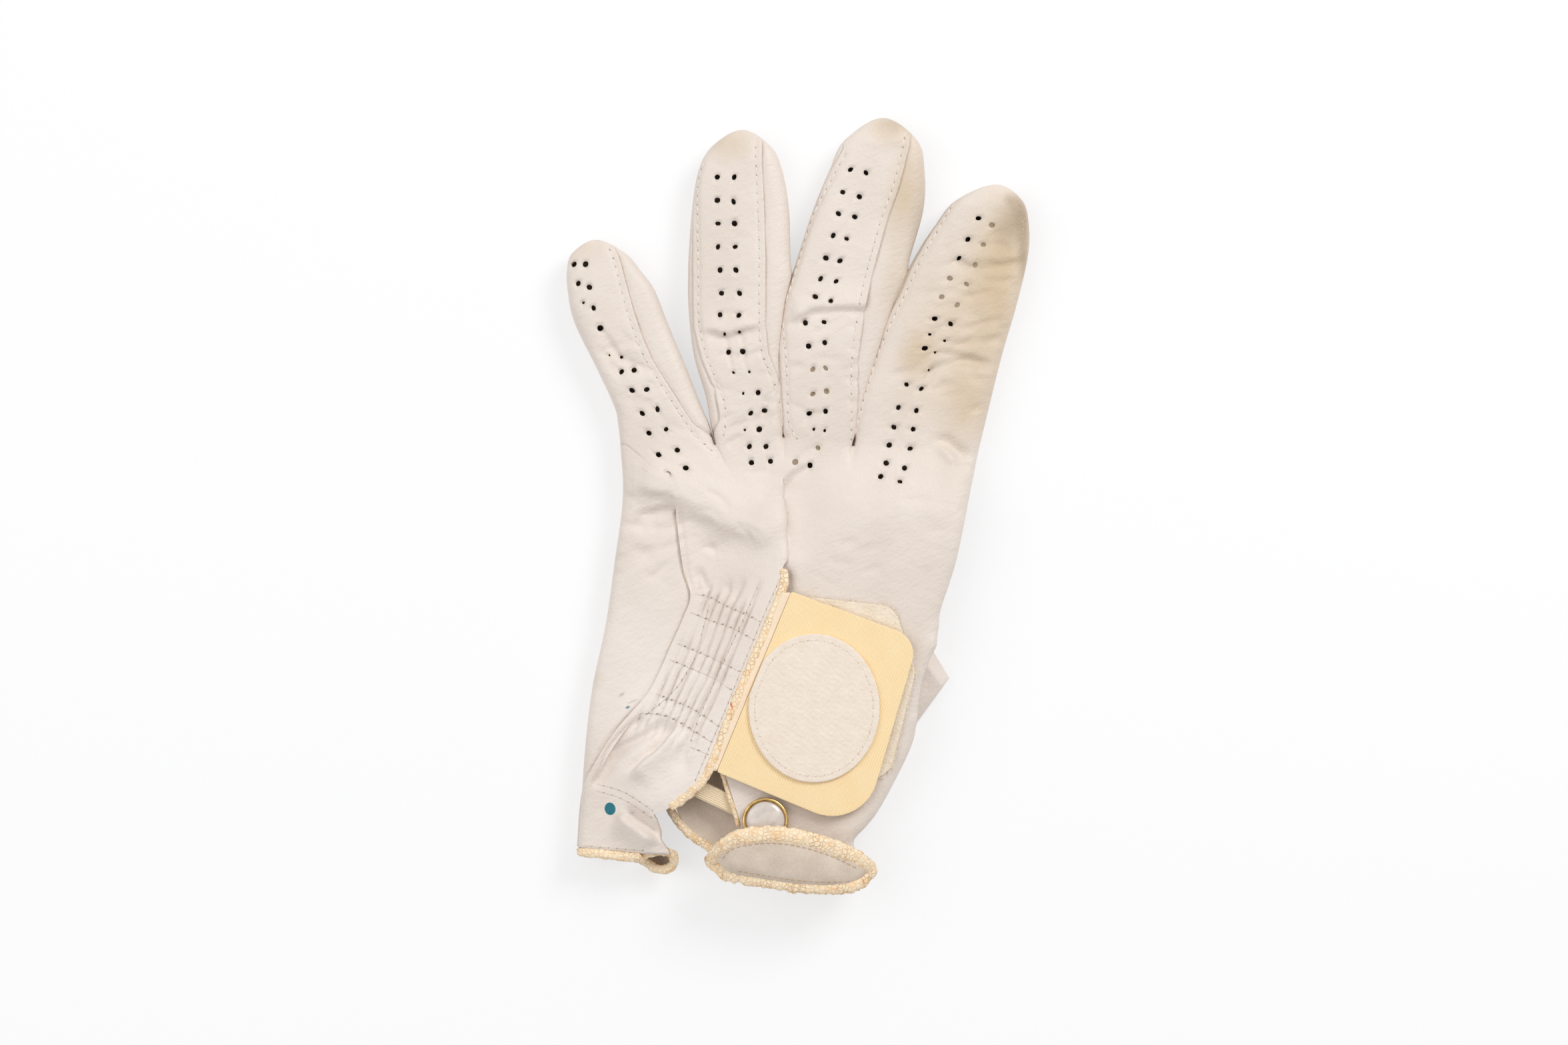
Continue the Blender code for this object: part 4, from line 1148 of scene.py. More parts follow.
@dataclass(frozen=True)
class Relief:
    """Folds, gathers and waviness of the leather's upper side."""

    folds: tuple = FOLDS
    rows: tuple = (-33.6, -39.2, -49.6, -55.3, -66.8, -73.0)
    row_slope: float = -0.39
    row_start: float = -10.8
    square: float = 0.92
    gather: float = 2.5
    depth: float = 0.9
    pressed: float = 1.7
    groove: float = 0.2

    def gathers(self, x: Array, y: Array) -> Array:
        """Ridges that the elastics draw up beside the slit, pinched at the rows of stitches."""
        off = (along(HAND.slit_left, y) - x) * self.square
        level = y - self.row_slope * (x - self.row_start)
        window = ramp(level, -27, -34) * ramp(level, -82, -72)
        window = window * ramp(off, 4, 8) * ramp(x - along(HAND.wrap_seam, y), 0, 2.5)
        window = window * (0.9 + 0.35 * ripple(x, y, 18, 7))
        pinch = sum(np.exp(-((level - row) / 0.9) ** 2) for row in self.rows)
        phase = off / self.gather + 0.16 * ripple(x, y, 45, 5) + 0.05 * ripple(x, y, 12, 6)
        valley = np.exp(-(((phase - np.rint(phase)) / 0.12) ** 2))
        pleat = -0.35 * np.cos(2 * math.pi * phase) - 1.2 * valley
        return self.depth * window * pleat * (1 - 0.35 * pinch) - 0.2 * pinch * window

    def at(self, x: Array, y: Array) -> Array:
        """Height that all of them add at each place."""
        total = 0.16 * ripple(x, y, 13, 1) + 0.05 * ripple(x, y, 4.5, 2) + self.gathers(x, y)
        seams = (seam for finger in FINGERS for seam in finger.seams if seam)
        for fold in (*self.folds, *(Fold(seam, -self.groove, 0.6, 0.6, 2) for seam in seams)):
            total = total + self.pressed * fold.relief(x, y)
        return total

    def press(self, bm: Mesh) -> None:
        """Moves a sheet's upper side along its normals by the relief, which fades out at the glove's sides."""
        bm.normal_update()
        place = np.array([vert.co[:] for vert in bm.verts]) / MM
        normal = np.array([vert.normal[:] for vert in bm.verts])
        x, y, z = place.T
        under = (x < along(HAND.slit_left, y) + 0.4) & (z < HAND.flap_height(x, y) - 0.4) & (abs(y + 37) < 45)
        side = Finger.MID + 0.3 + (HAND.raised_middle - Finger.MID) * HAND.raised(x, y)
        level = ramp(normal[:, 2], 0, 0.8) * ramp(z - side, 0, 2.5) * ~under
        moved = place + normal * (self.at(x, y) * level)[:, None]
        for vert, point in zip(bm.verts, moved * MM):
            vert.co = point


RELIEF = Relief()

HOLES = (
    (-63.7, 67.6), (-60.3, 67.6), (-62.4, 62.1), (-59.2, 61.0), (-58.0, 55.1), (-56.1, 49.4), (-50.1, 37.0),
    (-46.5, 37.5), (-47.1, 31.7), (-42.9, 32.0), (-44.2, 25.2), (-39.9, 26.4), (-42.3, 19.6), (-37.4, 20.7),
    (-39.5, 13.5), (-34.2, 14.8), (-36.7, 8.0), (-31.8, 9.7), (-22.9, 92.3), (-18.1, 92.3), (-22.9, 85.7),
    (-18.3, 85.3), (-22.7, 79.1), (-18.0, 79.1), (-22.7, 72.5), (-17.8, 72.5), (-22.1, 65.9), (-17.6, 65.9),
    (-21.7, 59.3), (-16.6, 59.3), (-22.1, 53.2), (-16.8, 53.0), (-19.7, 42.6), (-15.7, 42.8), (-11.3, 31.1),
    (-13.4, 25.2), (-9.5, 26.0), (-11.0, 20.7), (-13.8, 15.8), (-9.1, 15.8), (-13.2, 11.2), (-7.8, 11.6),
    (14.9, 94.4), (19.3, 93.5), (12.7, 88.0), (17.4, 86.7), (11.5, 81.9), (16.1, 81.0), (10.0, 75.7),
    (13.8, 74.8), (7.9, 69.3), (11.9, 68.5), (6.4, 63.4), (10.8, 62.7), (4.9, 58.3), (9.3, 57.0),
    (2.1, 50.9), (7.4, 51.1), (3.0, 44.3), (7.6, 45.3), (3.2, 25.2), (7.8, 25.8), (3.4, 10.5), (51.2, 80.6),
    (48.2, 74.6), (45.7, 69.3), (38.8, 52.1), (43.3, 50.6), (35.0, 32.2), (28.5, 26.9), (33.6, 26.0),
    (27.2, 21.3), (32.7, 20.7), (25.9, 16.2), (31.8, 15.2), (25.0, 11.1), (30.2, 9.7), (23.4, 7.3),
    (28.9, 5.8), (36.0, 43.7), (30.8, 33.4),
)
SHUT_HOLES = (
    (5.7, 15.4), (-0.8, 11.4), (55.0, 78.7), (52.6, 73.1), (50.3, 67.4), (43.1, 63.6), (47.8, 61.9),
    (40.8, 58.3), (45.2, 56.0), (4.2, 37.7), (7.8, 38.1), (4.2, 30.7), (8.1, 31.5),
)
TINY_HOLES = (
    (-53.4, 41.8), (-50.1, 41.2), (38.9, 42.6), (-60.9, 56.6), (-20.8, 47.7), (-16.6, 48.3), (4.5, 20.7),
    (7.6, 20.3), (-15.5, 30.9), (-15.1, 20.5), (-18.3, 36.8), (-13.8, 37.0), (37.4, 47.7), (41.6, 45.8),
    (37.1, 37.5),
)


FIRST_LEVEL = 10
LAST_LEVEL = -74.1
JOIN_ROWS = 8
EDGE_PULL = 8
SWELL_FADE = 9


def row_share(base: Array) -> Array:
    """Place of each point across its row, from 0 to 1."""
    return (base[:, 0] - base[0, 0]) / (base[-1, 0] - base[0, 0])


@dataclass(frozen=True)
class Span:
    """Leather across the hand: the x of its two edges at a level, and its height at a place."""

    left: Course
    right: Course
    height: Heights

    def across(self, share: Array, level: Array) -> Array:
        """The x of points that lie at a share of the way from the left edge to the right edge."""
        return self.left(level) + share * (self.right(level) - self.left(level))

    def hand_rows(self, base: Array, pitch: float) -> list:
        """Rows of points from the finger bases down the hand.

        Args:
            base: Row of points across the finger bases.
            pitch: Distance from row to row.

        Returns:
            The rows, the base row first.
        """
        share = row_share(base)
        rows = []
        for level in np.arange(FIRST_LEVEL, LAST_LEVEL, -pitch):
            x = self.across(share, level)
            y = np.full_like(x, level)
            rows.append(np.column_stack([x, y, self.height(x, y)]))
        joins = [base + (rows[0] - base) * k / JOIN_ROWS for k in range(1, JOIN_ROWS)]
        for row in joins:
            row[:, 0] += (share**EDGE_PULL * (self.right(row[-1, 1]) - row[-1, 0])
                          + (1 - share)**EDGE_PULL * (self.left(row[0, 1]) - row[0, 0]))
            row[:, 2] = self.height(row[:, 0], row[:, 1])
        return [base.copy()] + self.scalloped(joins + rows, base)

    def scalloped(self, rows: list, base: Array) -> list:
        """Adds the finger bases' swelling to rows of the hand, fading out towards the wrist."""
        swell = base[:, 2] - self.height(base[:, 0], base[:, 1])
        for row in rows:
            row[:, 2] += swell * np.clip(1 - (base[:, 1] - row[:, 1]) / SWELL_FADE, 0, 1) ** 2
        return rows

    def wrist_rows(self, last: Array, end: Array, count: int) -> list:
        """Rows of points from the lower hand to the wrist's edge.

        Args:
            last: Last row of the hand.
            end: Row along the wrist's edge.
            count: How many rows.

        Returns:
            The rows after the last one.
        """
        share = row_share(last)
        rows = []
        for k in range(1, count + 1):
            row = last * (1 - k / count) + end * k / count
            row[:, 0] = self.across(share, row[:, 1])
            row[:, 2] = self.height(row[:, 0], row[:, 1])
            rows.append(row)
        return rows


@dataclass
class BackPanel:
    """Back of the hand and the tops of the fingers, slit from the wrist up."""

    finishes: Finishes
    pitch: float = 0.8
    lap: float = 1.8
    wrap_lap: float = 1.2
    tape_inset: float = 1.5
    cuff_level: float = -101.0
    cuff_inset: float = 1.6
    cuff_rows: int = 34
    lip_rows: int = 26
    curl_rows: int = 30
    web_columns: int = 8
    weld: float = 0.03
    cut: Cut = Cut(125, 220, 20000, Hold.GATHERED, ("palm_panel",))
    hole: float = 0.85
    tiny_hole: float = 0.5
    shut_depth: float = 0.5
    vent_levels: tuple = (4, 40)

    def wrap_edge(self, y: Array) -> Array:
        """Left edge of the panel, lapped over the palm's wrap."""
        return along(HAND.wrap_seam, y) - self.wrap_lap * ramp(y, 15, 9)

    def slit_left_edge(self, y: Array) -> Array:
        """Gathered edge of the slit, inside its tape."""
        taped = ramp(y, -16, -19) * ramp(y, -90, -87)
        return beside(HAND.slit_left, y, -self.tape_inset * taped)

    def slit_right_edge(self, y: Array) -> Array:
        """Plain edge of the slit, inside its tape."""
        return beside(HAND.slit_right, y, self.tape_inset * ramp(y, -16, -19))

    def lapped_height(self, x: Array, y: Array) -> Array:
        """Height of the gathered flap, lifted where it laps over the palm's wrap."""
        off = np.clip(x - self.wrap_edge(y), 0, None)
        lap = 0.65 * np.exp(-((off / 3) ** 2)) * ramp(y, 6, -4)
        lap -= 0.9 * np.exp(-(off**2)) * ramp(y, -3, 1)
        return HAND.flap_height(x, y) + lap - 2.2 * ramp(x, -45, -36) * ramp(y, -91, -100)

    def finger_tops(self) -> list:
        """Grids of the four fingers, base row first."""
        tops = []
        for finger in FINGERS:
            params = finger.params(self.pitch)
            start, stop = (finger.seam_turn(params, edge, self.lap) for edge in Edge)
            tops.append(finger.tube(params, start, stop, finger.columns))
        return tops

    def left_flap(self, base: Array) -> Array:
        """Grid of the gathered half, from the knuckles to the cuff."""
        span = Span(self.wrap_edge, self.slit_left_edge, self.lapped_height)
        rows = span.hand_rows(base, self.pitch)
        x = span.across(row_share(base), self.cuff_level)
        cuff = np.column_stack([x, beside(HAND.left_cuff, x, self.cuff_inset), x])
        return np.array(rows + span.wrist_rows(rows[-1], cuff, self.cuff_rows))

    def right_flap(self, base: Array) -> Array:
        """Grid of the plain half, from the knuckles to the flared lip."""
        span = Span(self.slit_right_edge, HAND.right_edge, HAND.tucked_height)
        rows = span.hand_rows(base, self.pitch)
        curl = HAND.lip_rows(row_share(base), np.linspace(0, 1, self.curl_rows))
        return np.array(rows + span.wrist_rows(rows[-1], curl[0], self.lip_rows) + curl[1:])

    def vents(self) -> tuple:
        """Holes over the knuckles, each pulled a little out of round: the open ones and the shut ones."""
        draw = np.random.default_rng(41)
        made: list = []
        for radius, holes in ((self.hole, HOLES), (self.tiny_hole, TINY_HOLES), (self.hole, SHUT_HOLES)):
            for x, y in holes:
                long = radius * draw.uniform(0.9, 1.1)
                made.append((x, y, long, long * draw.uniform(0.66, 0.95), draw.uniform(0, math.pi)))
        return made[:-len(SHUT_HOLES)], made[-len(SHUT_HOLES):]

    def build(self) -> Object:
        """Makes the panel with its folds, gathers and holes."""
        f = self.finishes
        piece = Piece("back_leather", "glove", "leather", [f.leather, f.shaded_vent_floor, f.suede], ("back_panel",))
        tops = self.finger_tops()
        left = self.left_flap(np.vstack([top[0] for top in tops[:2]]))
        right = self.right_flap(np.vstack([top[0] for top in tops[2:]]))
        joined = JOIN_ROWS + int(np.ceil((FIRST_LEVEL - HAND.slit_top) / self.pitch))
        places = np.linspace(0, 1, self.web_columns)
        web = [left[:joined, -1] * (1 - t) + right[:joined, 0] * t for t in places]
        for grid in tops + [left[::-1], right[::-1], np.stack(web, axis=1)[::-1]]:
            add_grid(piece.bm, grid)
        bmesh.ops.remove_doubles(piece.bm, verts=piece.bm.verts, dist=self.weld * MM)
        RELIEF.press(piece.bm)
        open_vents, shut_vents = self.vents()
        # The shut holes' floors take material 1, which is painted shade.
        press_shut(piece.bm, shut_vents, self.vent_levels[0], self.shut_depth, 1)
        punch(piece.bm, open_vents, *self.vent_levels)
        return self.cut.declare(piece.finish(LEATHER))


@dataclass
class PalmPanel:
    """Palm and undersides of the fingers, wrapped round the little-finger side onto the back."""

    finishes: Finishes
    pitch: float = 1.0
    thumb_axis: tuple = (27.0, -45.0)
    thumb_hole: float = 8.0
    hole_levels: tuple = (-1, 9.5)
    tuck: float = 1.5
    columns: int = 27
    hand_end: float = -74.0
    wrist_ends: tuple = (-100.0, -105.0)
    wrist_inset: float = 2.0
    wrist_rows: int = 24
    weld: float = 0.03
    cut: Cut = Cut(150, 215, 24000, Hold.FOLDED, ("thumb_stall",))

    def wrap(self, palm: Array) -> Array:
        """Grid of the leather that runs round the side and under the back's left edge."""
        steps = np.linspace(0, 1, 40) ** 1.3
        rows = []
        for row in palm:
            edge = row[0]
            end = max(along(HAND.wrap_seam, edge[1]) + self.tuck, edge[0] + 0.2)
            x = edge[0] + steps * (end - edge[0])
            y = np.full_like(x, edge[1])
            z = HAND.flap_height(x, y) - 0.5 * ramp(x - end, -4.5, -2.5) * ramp(y, 1, -3)
            z -= ramp(x - end, -1.2, -0.2) * ramp(y, -3, 1)
            strip = np.column_stack([x, y, z])
            strip[0] = edge
            rows.append(strip)
        rows[0] = np.tile(palm[0][0], (len(steps), 1))
        return np.array(rows)

    def build(self) -> None:
        """Makes the panel with the thumb's hole."""
        piece = Piece("palm_leather", "glove", "leather", self.finishes.hide, ("palm_panel",))
        strips = []
        for finger in FINGERS:
            params = finger.params(self.pitch)
            start, stop = (finger.low_turn(params, edge) for edge in Edge)
            stop = 2 * math.pi + stop
            strips.append(finger.tube(params, start, stop, self.columns))
        base = np.vstack([strip[0] for strip in strips])
        share = row_share(base)
        span = Span(HAND.left_edge, HAND.right_edge, HAND.palm_height)
        rows = span.hand_rows(base, self.pitch)
        left, right = self.wrist_ends
        x = rows[-1][:, 0] + (span.left(left) - span.left(self.hand_end)) * (1 - share)
        x += (span.right(right) - span.right(self.hand_end)) * share
        wrist = np.column_stack([x, beside(HAND.palm_wrist, x, self.wrist_inset), x])
        palm = np.array(rows + span.wrist_rows(rows[-1], wrist, self.wrist_rows))
        for grid in [strip[:, ::-1] for strip in strips] + [palm[::-1, ::-1], self.wrap(palm)[::-1]]:
            add_grid(piece.bm, grid)
        bmesh.ops.remove_doubles(piece.bm, verts=piece.bm.verts, dist=self.weld * MM)
        RELIEF.press(piece.bm)
        punch(piece.bm, [(*self.thumb_axis, self.thumb_hole, self.thumb_hole, 0)], *self.hole_levels)
        self.cut.declare(piece.finish(LEATHER))


@dataclass
class Fourchettes:
    """Side strips between neighbouring fingers."""

    finishes: Finishes
    pitch: float = 0.9
    columns: int = 18
    thickness: float = LEATHER * 0.8
    tuck: float = 0.7
    lap: float = 1.0
    cuts: tuple = tuple(Cut(14, length, area, Hold.FOLDED, ("palm_panel",))
                        for length, area in ((150, 1780), (180, 1930), (165, 2040)))

    def tucked(self, run: Array) -> Array:
        """How far the strip lies inside, where it runs under the back's leather."""
        return self.tuck * (1 - ramp(run, 2.8, 3.8))

    def build(self) -> None:
        """Makes the three strips."""
        for first, second, cut in zip(FINGERS, FINGERS[1:], self.cuts):
            name = f"{first.name}_{second.name}"
            piece = Piece(f"side_strip_{name}", "glove", "leather", self.finishes.hide, (f"fourchette_{name}",))
            halves = []
            for finger, edge in ((first, Edge.RIGHT), (second, Edge.LEFT)):
                params = finger.params(self.pitch)
                start = finger.seam_turn(params, edge, -self.lap)
                grid = finger.tube(params, start, finger.low_turn(params, edge), self.columns, self.tucked)
                halves.append(grid[::-1] if edge is Edge.RIGHT else grid)
            add_grid(piece.bm, np.vstack(halves)[:, ::-1])
            cut.declare(piece.finish(self.thickness))


@dataclass
class Thumb:
    """The thumb's stall, folded flat under the palm."""

    finishes: Finishes
    axis: tuple = (27.0, -45.0)
    hole: float = 7.6
    top: float = 7.5
    heel_left: tuple = (26.7, -22.5)
    heel_right: tuple = (43.2, -50.2)
    direction: tuple = (-0.552, -0.834)
    length: float = 60.0
    taper: float = 0.86
    round_from: float = 0.72
    floor: float = 0.02
    cut: Cut = Cut(62, 62, 3350, Hold.FOLDED, ("palm_panel",))

    def rings(self) -> Array:
        """Rings of points from the folded heel to the tip."""
        ahead = np.array(self.direction)
        across = np.array((-ahead[1], ahead[0]))
        left, right = np.array(self.heel_left), np.array(self.heel_right)
        lean = (left - right) @ ahead / 2
        half = abs((left - right) @ across) / 2
        root = (left + right) / 2
        side = np.sign((right - root) @ across)
        turn = np.linspace(0, 2 * math.pi, 73)
        shape_x = np.sign(np.cos(turn)) * np.abs(np.cos(turn)) ** 0.5
        shape_z = np.clip(1.05 * np.sign(np.sin(turn)) * np.abs(np.sin(turn)) ** 0.5, -1, 1)
        rings = []
        for t in np.concatenate([np.linspace(0, 0.1, 10), np.linspace(0.115, 0.985, 56)]):
            past = max(0.0, (t - self.round_from) / (1 - self.round_from))
            round_off = math.sqrt(max(0.0, 1 - past**2))
            width = half * (1 - (1 - self.taper) * t) * (0.04 + 0.96 * round_off)
            height = self.top / 2 * min(1.0, 0.16 + 12 * t) * (0.15 + 0.85 * round_off**0.5)
            skew = lean * max(0.0, 1 - t / 0.5)
            middle = root + ahead * self.length * t
            flat = middle + shape_x[:, None] * (across * side * width - ahead * skew)
            dent = 0.25 * ripple(flat[:, 0], flat[:, 1], 9, 8) * np.abs(shape_z)
            level = np.maximum(self.top / 2 + (height - 0.3 + dent) * shape_z, self.floor)
            rings.append(np.column_stack([flat, level]))
        return np.array(rings)

    def build(self) -> None:
        """Makes the stall, open where it is sewn into the palm."""
        piece = Piece("thumb_leather", "thumb", "leather", self.finishes.hide, ("thumb_stall",))
        add_grid(piece.bm, self.rings())
        bmesh.ops.remove_doubles(piece.bm, verts=piece.bm.verts, dist=0.02 * MM)
        bmesh.ops.holes_fill(piece.bm, edges=piece.bm.edges, sides=0)
        bmesh.ops.recalc_face_normals(piece.bm, faces=piece.bm.faces)
        punch(piece.bm, [(*self.axis, self.hole, self.hole, 0)], self.top / 2, self.top + 1)
        self.cut.declare(piece.finish(LEATHER))


TAPE_SIDES = 12
TAPE_WOBBLE = 0.12


def add_tube(bm: Mesh, path: Array, wide: float, thick: float, seed: int) -> None:
    """Adds a rounded, slightly uneven tape that wraps an edge, closed at both ends.

    Args:
        bm: The mesh.
        path: The edge's course, in millimetres.
        wide: Half width across the sheet.
        thick: Half thickness.
        seed: Which unevenness.
    """
    ahead = np.gradient(path, axis=0)
    ahead /= np.linalg.norm(ahead, axis=1)[:, None]
    across = np.cross(ahead, (0.0, 0.0, 1.0))
    across /= np.linalg.norm(across, axis=1)[:, None]
    upward = np.cross(across, ahead)
    turn = np.linspace(0, 2 * math.pi, TAPE_SIDES + 1)
    run = run_along(path)
    end = np.clip(np.minimum(run, run[-1] - run) / wide, 0, 1)
    close = np.sqrt(end * (2 - end))
    rows = []
    for i in range(len(path)):
        uneven = 1 + TAPE_WOBBLE * ripple(np.full_like(turn, run[i]), 2.5 * np.cos(turn), 2.2, seed)
        uneven[-1] = uneven[0]
        ring = (np.outer(np.cos(turn) * wide * uneven, across[i])
                + np.outer(np.sin(turn) * thick * uneven, upward[i])) * close[i]
        rows.append(path[i] + ring)
    add_grid(bm, np.array(rows))
    bmesh.ops.remove_doubles(bm, verts=bm.verts, dist=0.01 * MM)


@dataclass
class Bindings:
    """Tapes sewn over the raw edges of the slit and the wrist."""

    finishes: Finishes
    back: BVHTree
    pitch: float = 0.6
    near: float = 4.0
    roll: Points = ((-43.0, -102.6, 7.6), (-40.5, -104.2, 6.4), (-37.5, -104.4, 6.4), (-35.4, -102.6, 7.8),
                    (-35.6, -100.2, 10.0), (-38.0, -98.9, 11.6), (-41.5, -99.3, 12.0), (-44.8, -100.3, 11.6))

    def on_back(self, x: Array, y: Array, shift_x: float, shift_y: float, guess: Array) -> Array:
        """Heights of the back's leather beside an edge, or a guess where there is none."""
        found = []
        for px, py, pz in zip(x + shift_x, y + shift_y, guess):
            hit = self.back.ray_cast(Vector((px * MM, py * MM, ABOVE)), DOWN)[0]
            found.append(hit.z / MM if hit is not None and abs(hit.z / MM - pz) < self.near else pz)
        width = 5
        return np.convolve(np.pad(found, width // 2, mode="edge"), np.ones(width) / width, mode="valid")

    def tape(self, name: str, node: str, path: Array, wide: float, thick: float, seed: int) -> None:
        """Makes one tape along a path."""
        piece = Piece(name, "glove", "edge_tape", [self.finishes.binding], (node,))
        add_tube(piece.bm, even(path, self.pitch), wide, thick, seed)
        piece.finish(weld=0.005)

    def build(self) -> None:
        """Makes the five tapes and the leather in the rolled corner."""
        self.tape("slit_tape_left", "slit_binding_left", self.slit_left_path(), 1.25, 0.65, 11)
        self.tape("slit_tape_right", "slit_binding_right", self.slit_right_path(), 0.65, 0.6, 12)
        self.tape("cuff_tape_left", "cuff_binding_left", self.cuff_path(), 1.35, 1.0, 13)
        self.tape("cuff_tape_palm", "cuff_binding_palm", self.palm_path(), 1.3, 0.9, 14)
        self.tape("cuff_tape_right", "cuff_binding_right", self.lip_path(), 2.3, 1.25, 15)
        self.rolled_corner()

    def slit_left_path(self) -> Array:
        """Course of the tape on the gathered side of the slit."""
        y = np.linspace(-18.6, -86.5, 90)
        x = beside(HAND.slit_left, y, -1.3)
        return np.column_stack([x, y, self.on_back(x, y, -1.6, 0, HAND.flap_height(x, y)) + 0.05])

    def slit_right_path(self) -> Array:
        """Course of the tape on the plain side of the slit."""
        y = np.linspace(-19.5, -92, 80)
        x = beside(HAND.slit_right, y, 0.8)
        return np.column_stack([x, y, HAND.tucked_height(x, y) - LEATHER / 2])

    def cuff_path(self) -> Array:
        """Course of the tape on the gathered flap's wrist edge, on into the rolled corner."""
        x = np.linspace(-62.5, -45.5, 40)
        y = beside(HAND.left_cuff, x, 0.3)
        z = self.on_back(x, y, 0, 1.9, HAND.flap_height(x, y)) - LEATHER / 2
        return np.vstack([np.column_stack([x, y, z]), self.roll])

    def palm_path(self) -> Array:
        """Course of the tape on the palm's wrist edge, which lies on the floor at its lowest."""
        x = np.linspace(-61.0, 21.0, 120)
        y = beside(HAND.palm_wrist, x, 0.9)
        return np.column_stack([x, y, np.maximum(HAND.palm_height(x, y + 2) + LEATHER / 2, 1.1)])

    def rolled_corner(self) -> None:
        """Makes the leather inside the cuff's rolled corner."""
        ring = even((*self.roll, self.roll[0]), self.pitch)
        middle = ring.mean(0)
        rows = []
        for t in np.linspace(0, 0.98, 8):
            row = middle + (ring - middle) * (1 - t)
            row[:, 2] = ring[:, 2] * (1 - t) + 3.4 * t - 0.5 - 2.0 * math.sin(math.pi * t)
            rows.append(row)
        piece = Piece("cuff_roll", "glove", "leather", [self.finishes.suede])
        add_grid(piece.bm, np.array(rows))
        piece.finish(LEATHER / 2)

    def lip_path(self) -> Array:
        """Course of the tape round the flared lip: along its edge and back along its fold."""
        edge, inner, fold = HAND.lip_rows(np.linspace(0.02, 0.98, 80), (1.0, 0.93, 0.5))
        onward = (edge - inner) / np.linalg.norm(edge - inner, axis=1)[:, None]
        top = edge + onward * 0.5
        low = np.column_stack([fold[:, 0], along(HAND.lip_low, fold[:, 0]) - 0.3, fold[:, 2] + 0.7])
        return np.vstack([low[24:2:-1], top, low[77:18:-1]])


@dataclass
class Elastics:
    """Elastic tapes inside: three under the gathers and one across the wrist."""

    finishes: Finishes
    width: float = 5.0
    thickness: float = 0.6
    gather_depth: float = LEATHER + 1.4
    wrist_depth: float = LEATHER + 0.5
    tapes: tuple = (("upper", (-29.0, -29.0), (-10.5, -36.6)), ("middle", (-34.6, -42.6), (-16.6, -50.8)),
                    ("lower", (-41.8, -57.4), (-22.8, -65.9)))
    wrist: tuple = ((-40.0, -75.5), (-15.2, -87.2))

    def ribbon(self, start: Points, end: Points, height: Heights) -> Array:
        """Grid of a flat tape between two points, following a surface."""
        start, end = np.array(start), np.array(end)
        run = (end - start) / np.linalg.norm(end - start)
        across = np.array((-run[1], run[0])) * self.width / 2
        rows = []
        for side in np.linspace(-1, 1, 9):
            line = start + side * across + np.linspace(0, 1, 48)[:, None] * (end - start)
            rows.append(np.column_stack([line, height(line[:, 0], line[:, 1])]))
        return np.array(rows)

    def tape(self, name: str, node: str, ends: Points, height: Heights) -> None:
        """Makes one tape between its two ends."""
        piece = Piece(name, "glove", "elastic", [self.finishes.elastic], (node,))
        add_grid(piece.bm, self.ribbon(*ends, height))
        piece.finish(self.thickness)

    def build(self) -> None:
        """Makes the four tapes."""
        for name, *ends in self.tapes:
            self.tape(f"gather_elastic_{name}", f"shirr_elastic_{name}", ends,
                      lambda x, y: HAND.flap_height(x, y) - self.gather_depth)
        self.tape("wrist_band", "wrist_elastic", self.wrist, lambda x, y: HAND.height(x, y) - self.wrist_depth)


def rounded_outline(corners: Points) -> Array:
    """Closed outline with each corner (x, y, radius) rounded by an arc."""
    outline = []
    for i, corner in enumerate(corners):
        point = np.array(corner[:2])
        before = np.array(corners[i - 1][:2]) - point
        after = np.array(corners[(i + 1) % len(corners)][:2]) - point
        before, after = before / np.linalg.norm(before), after / np.linalg.norm(after)
        half = math.acos(float(np.clip(before @ after, -1, 1))) / 2
        middle = point + (before + after) / np.linalg.norm(before + after) * corner[2] / math.sin(half)
        first = point + before * corner[2] / math.tan(half) - middle
        turn = -np.sign(before[0] * after[1] - before[1] * after[0]) * (math.pi - 2 * half)
        for spin in np.linspace(0, turn, 12):
            c, s = math.cos(spin), math.sin(spin)
            outline.append(middle + np.array(((c, -s), (s, c))) @ first)
    return np.array(outline)


@dataclass(frozen=True)
class Pad:
    """A flat piece with a rounded edge, in millimetres.

    `count` points run round it and `rings` from its middle to its edge. Its faces are uneven by about `bump`.
    """

    low: float
    high: float
    count: int
    rings: int
    edge: float
    bump: float = 0.0
    wave: float = 1.0
    seed: int = 0

    def add(self, bm: Mesh, outline: Array) -> None:
        """Adds the piece, with a closed outline seen from above, to a mesh."""
        closed = np.vstack([outline, outline[:1]])
        run = run_along(closed)
        places = np.linspace(0, run[-1], self.count + 1)
        ring = np.column_stack([np.interp(places, run, column) for column in closed.T])
        middle = outline.mean(0)
        reach = np.linalg.norm(ring - middle, axis=1)[:, None]
        flat_part = reach - self.edge
        bends = np.linspace(0, math.pi / 2, 5)
        rounds = [(self.edge * (1 - math.sin(bend)), self.edge * (1 - math.cos(bend))) for bend in bends]
        levels = [(flat_part * t, self.high) for t in np.linspace(0, 1, self.rings)]
        levels += [(reach - inset, self.high - drop) for inset, drop in rounds[1:]]
        levels += [(reach - inset, self.low + drop) for inset, drop in rounds[::-1]]
        levels += [(flat_part * t, self.low) for t in (0.66, 0.33, 0.0)]
        rows = []
        for distance, height in levels:
            flat = middle + (ring - middle) / reach * distance
            z = height + self.bump * ripple(flat[:, 0], flat[:, 1], self.wave, self.seed)
            rows.append(np.column_stack([flat, z]))
        add_grid(bm, np.array(rows))
        bmesh.ops.remove_doubles(bm, verts=bm.verts, dist=0.01 * MM)
        bmesh.ops.recalc_face_normals(bm, faces=bm.faces)


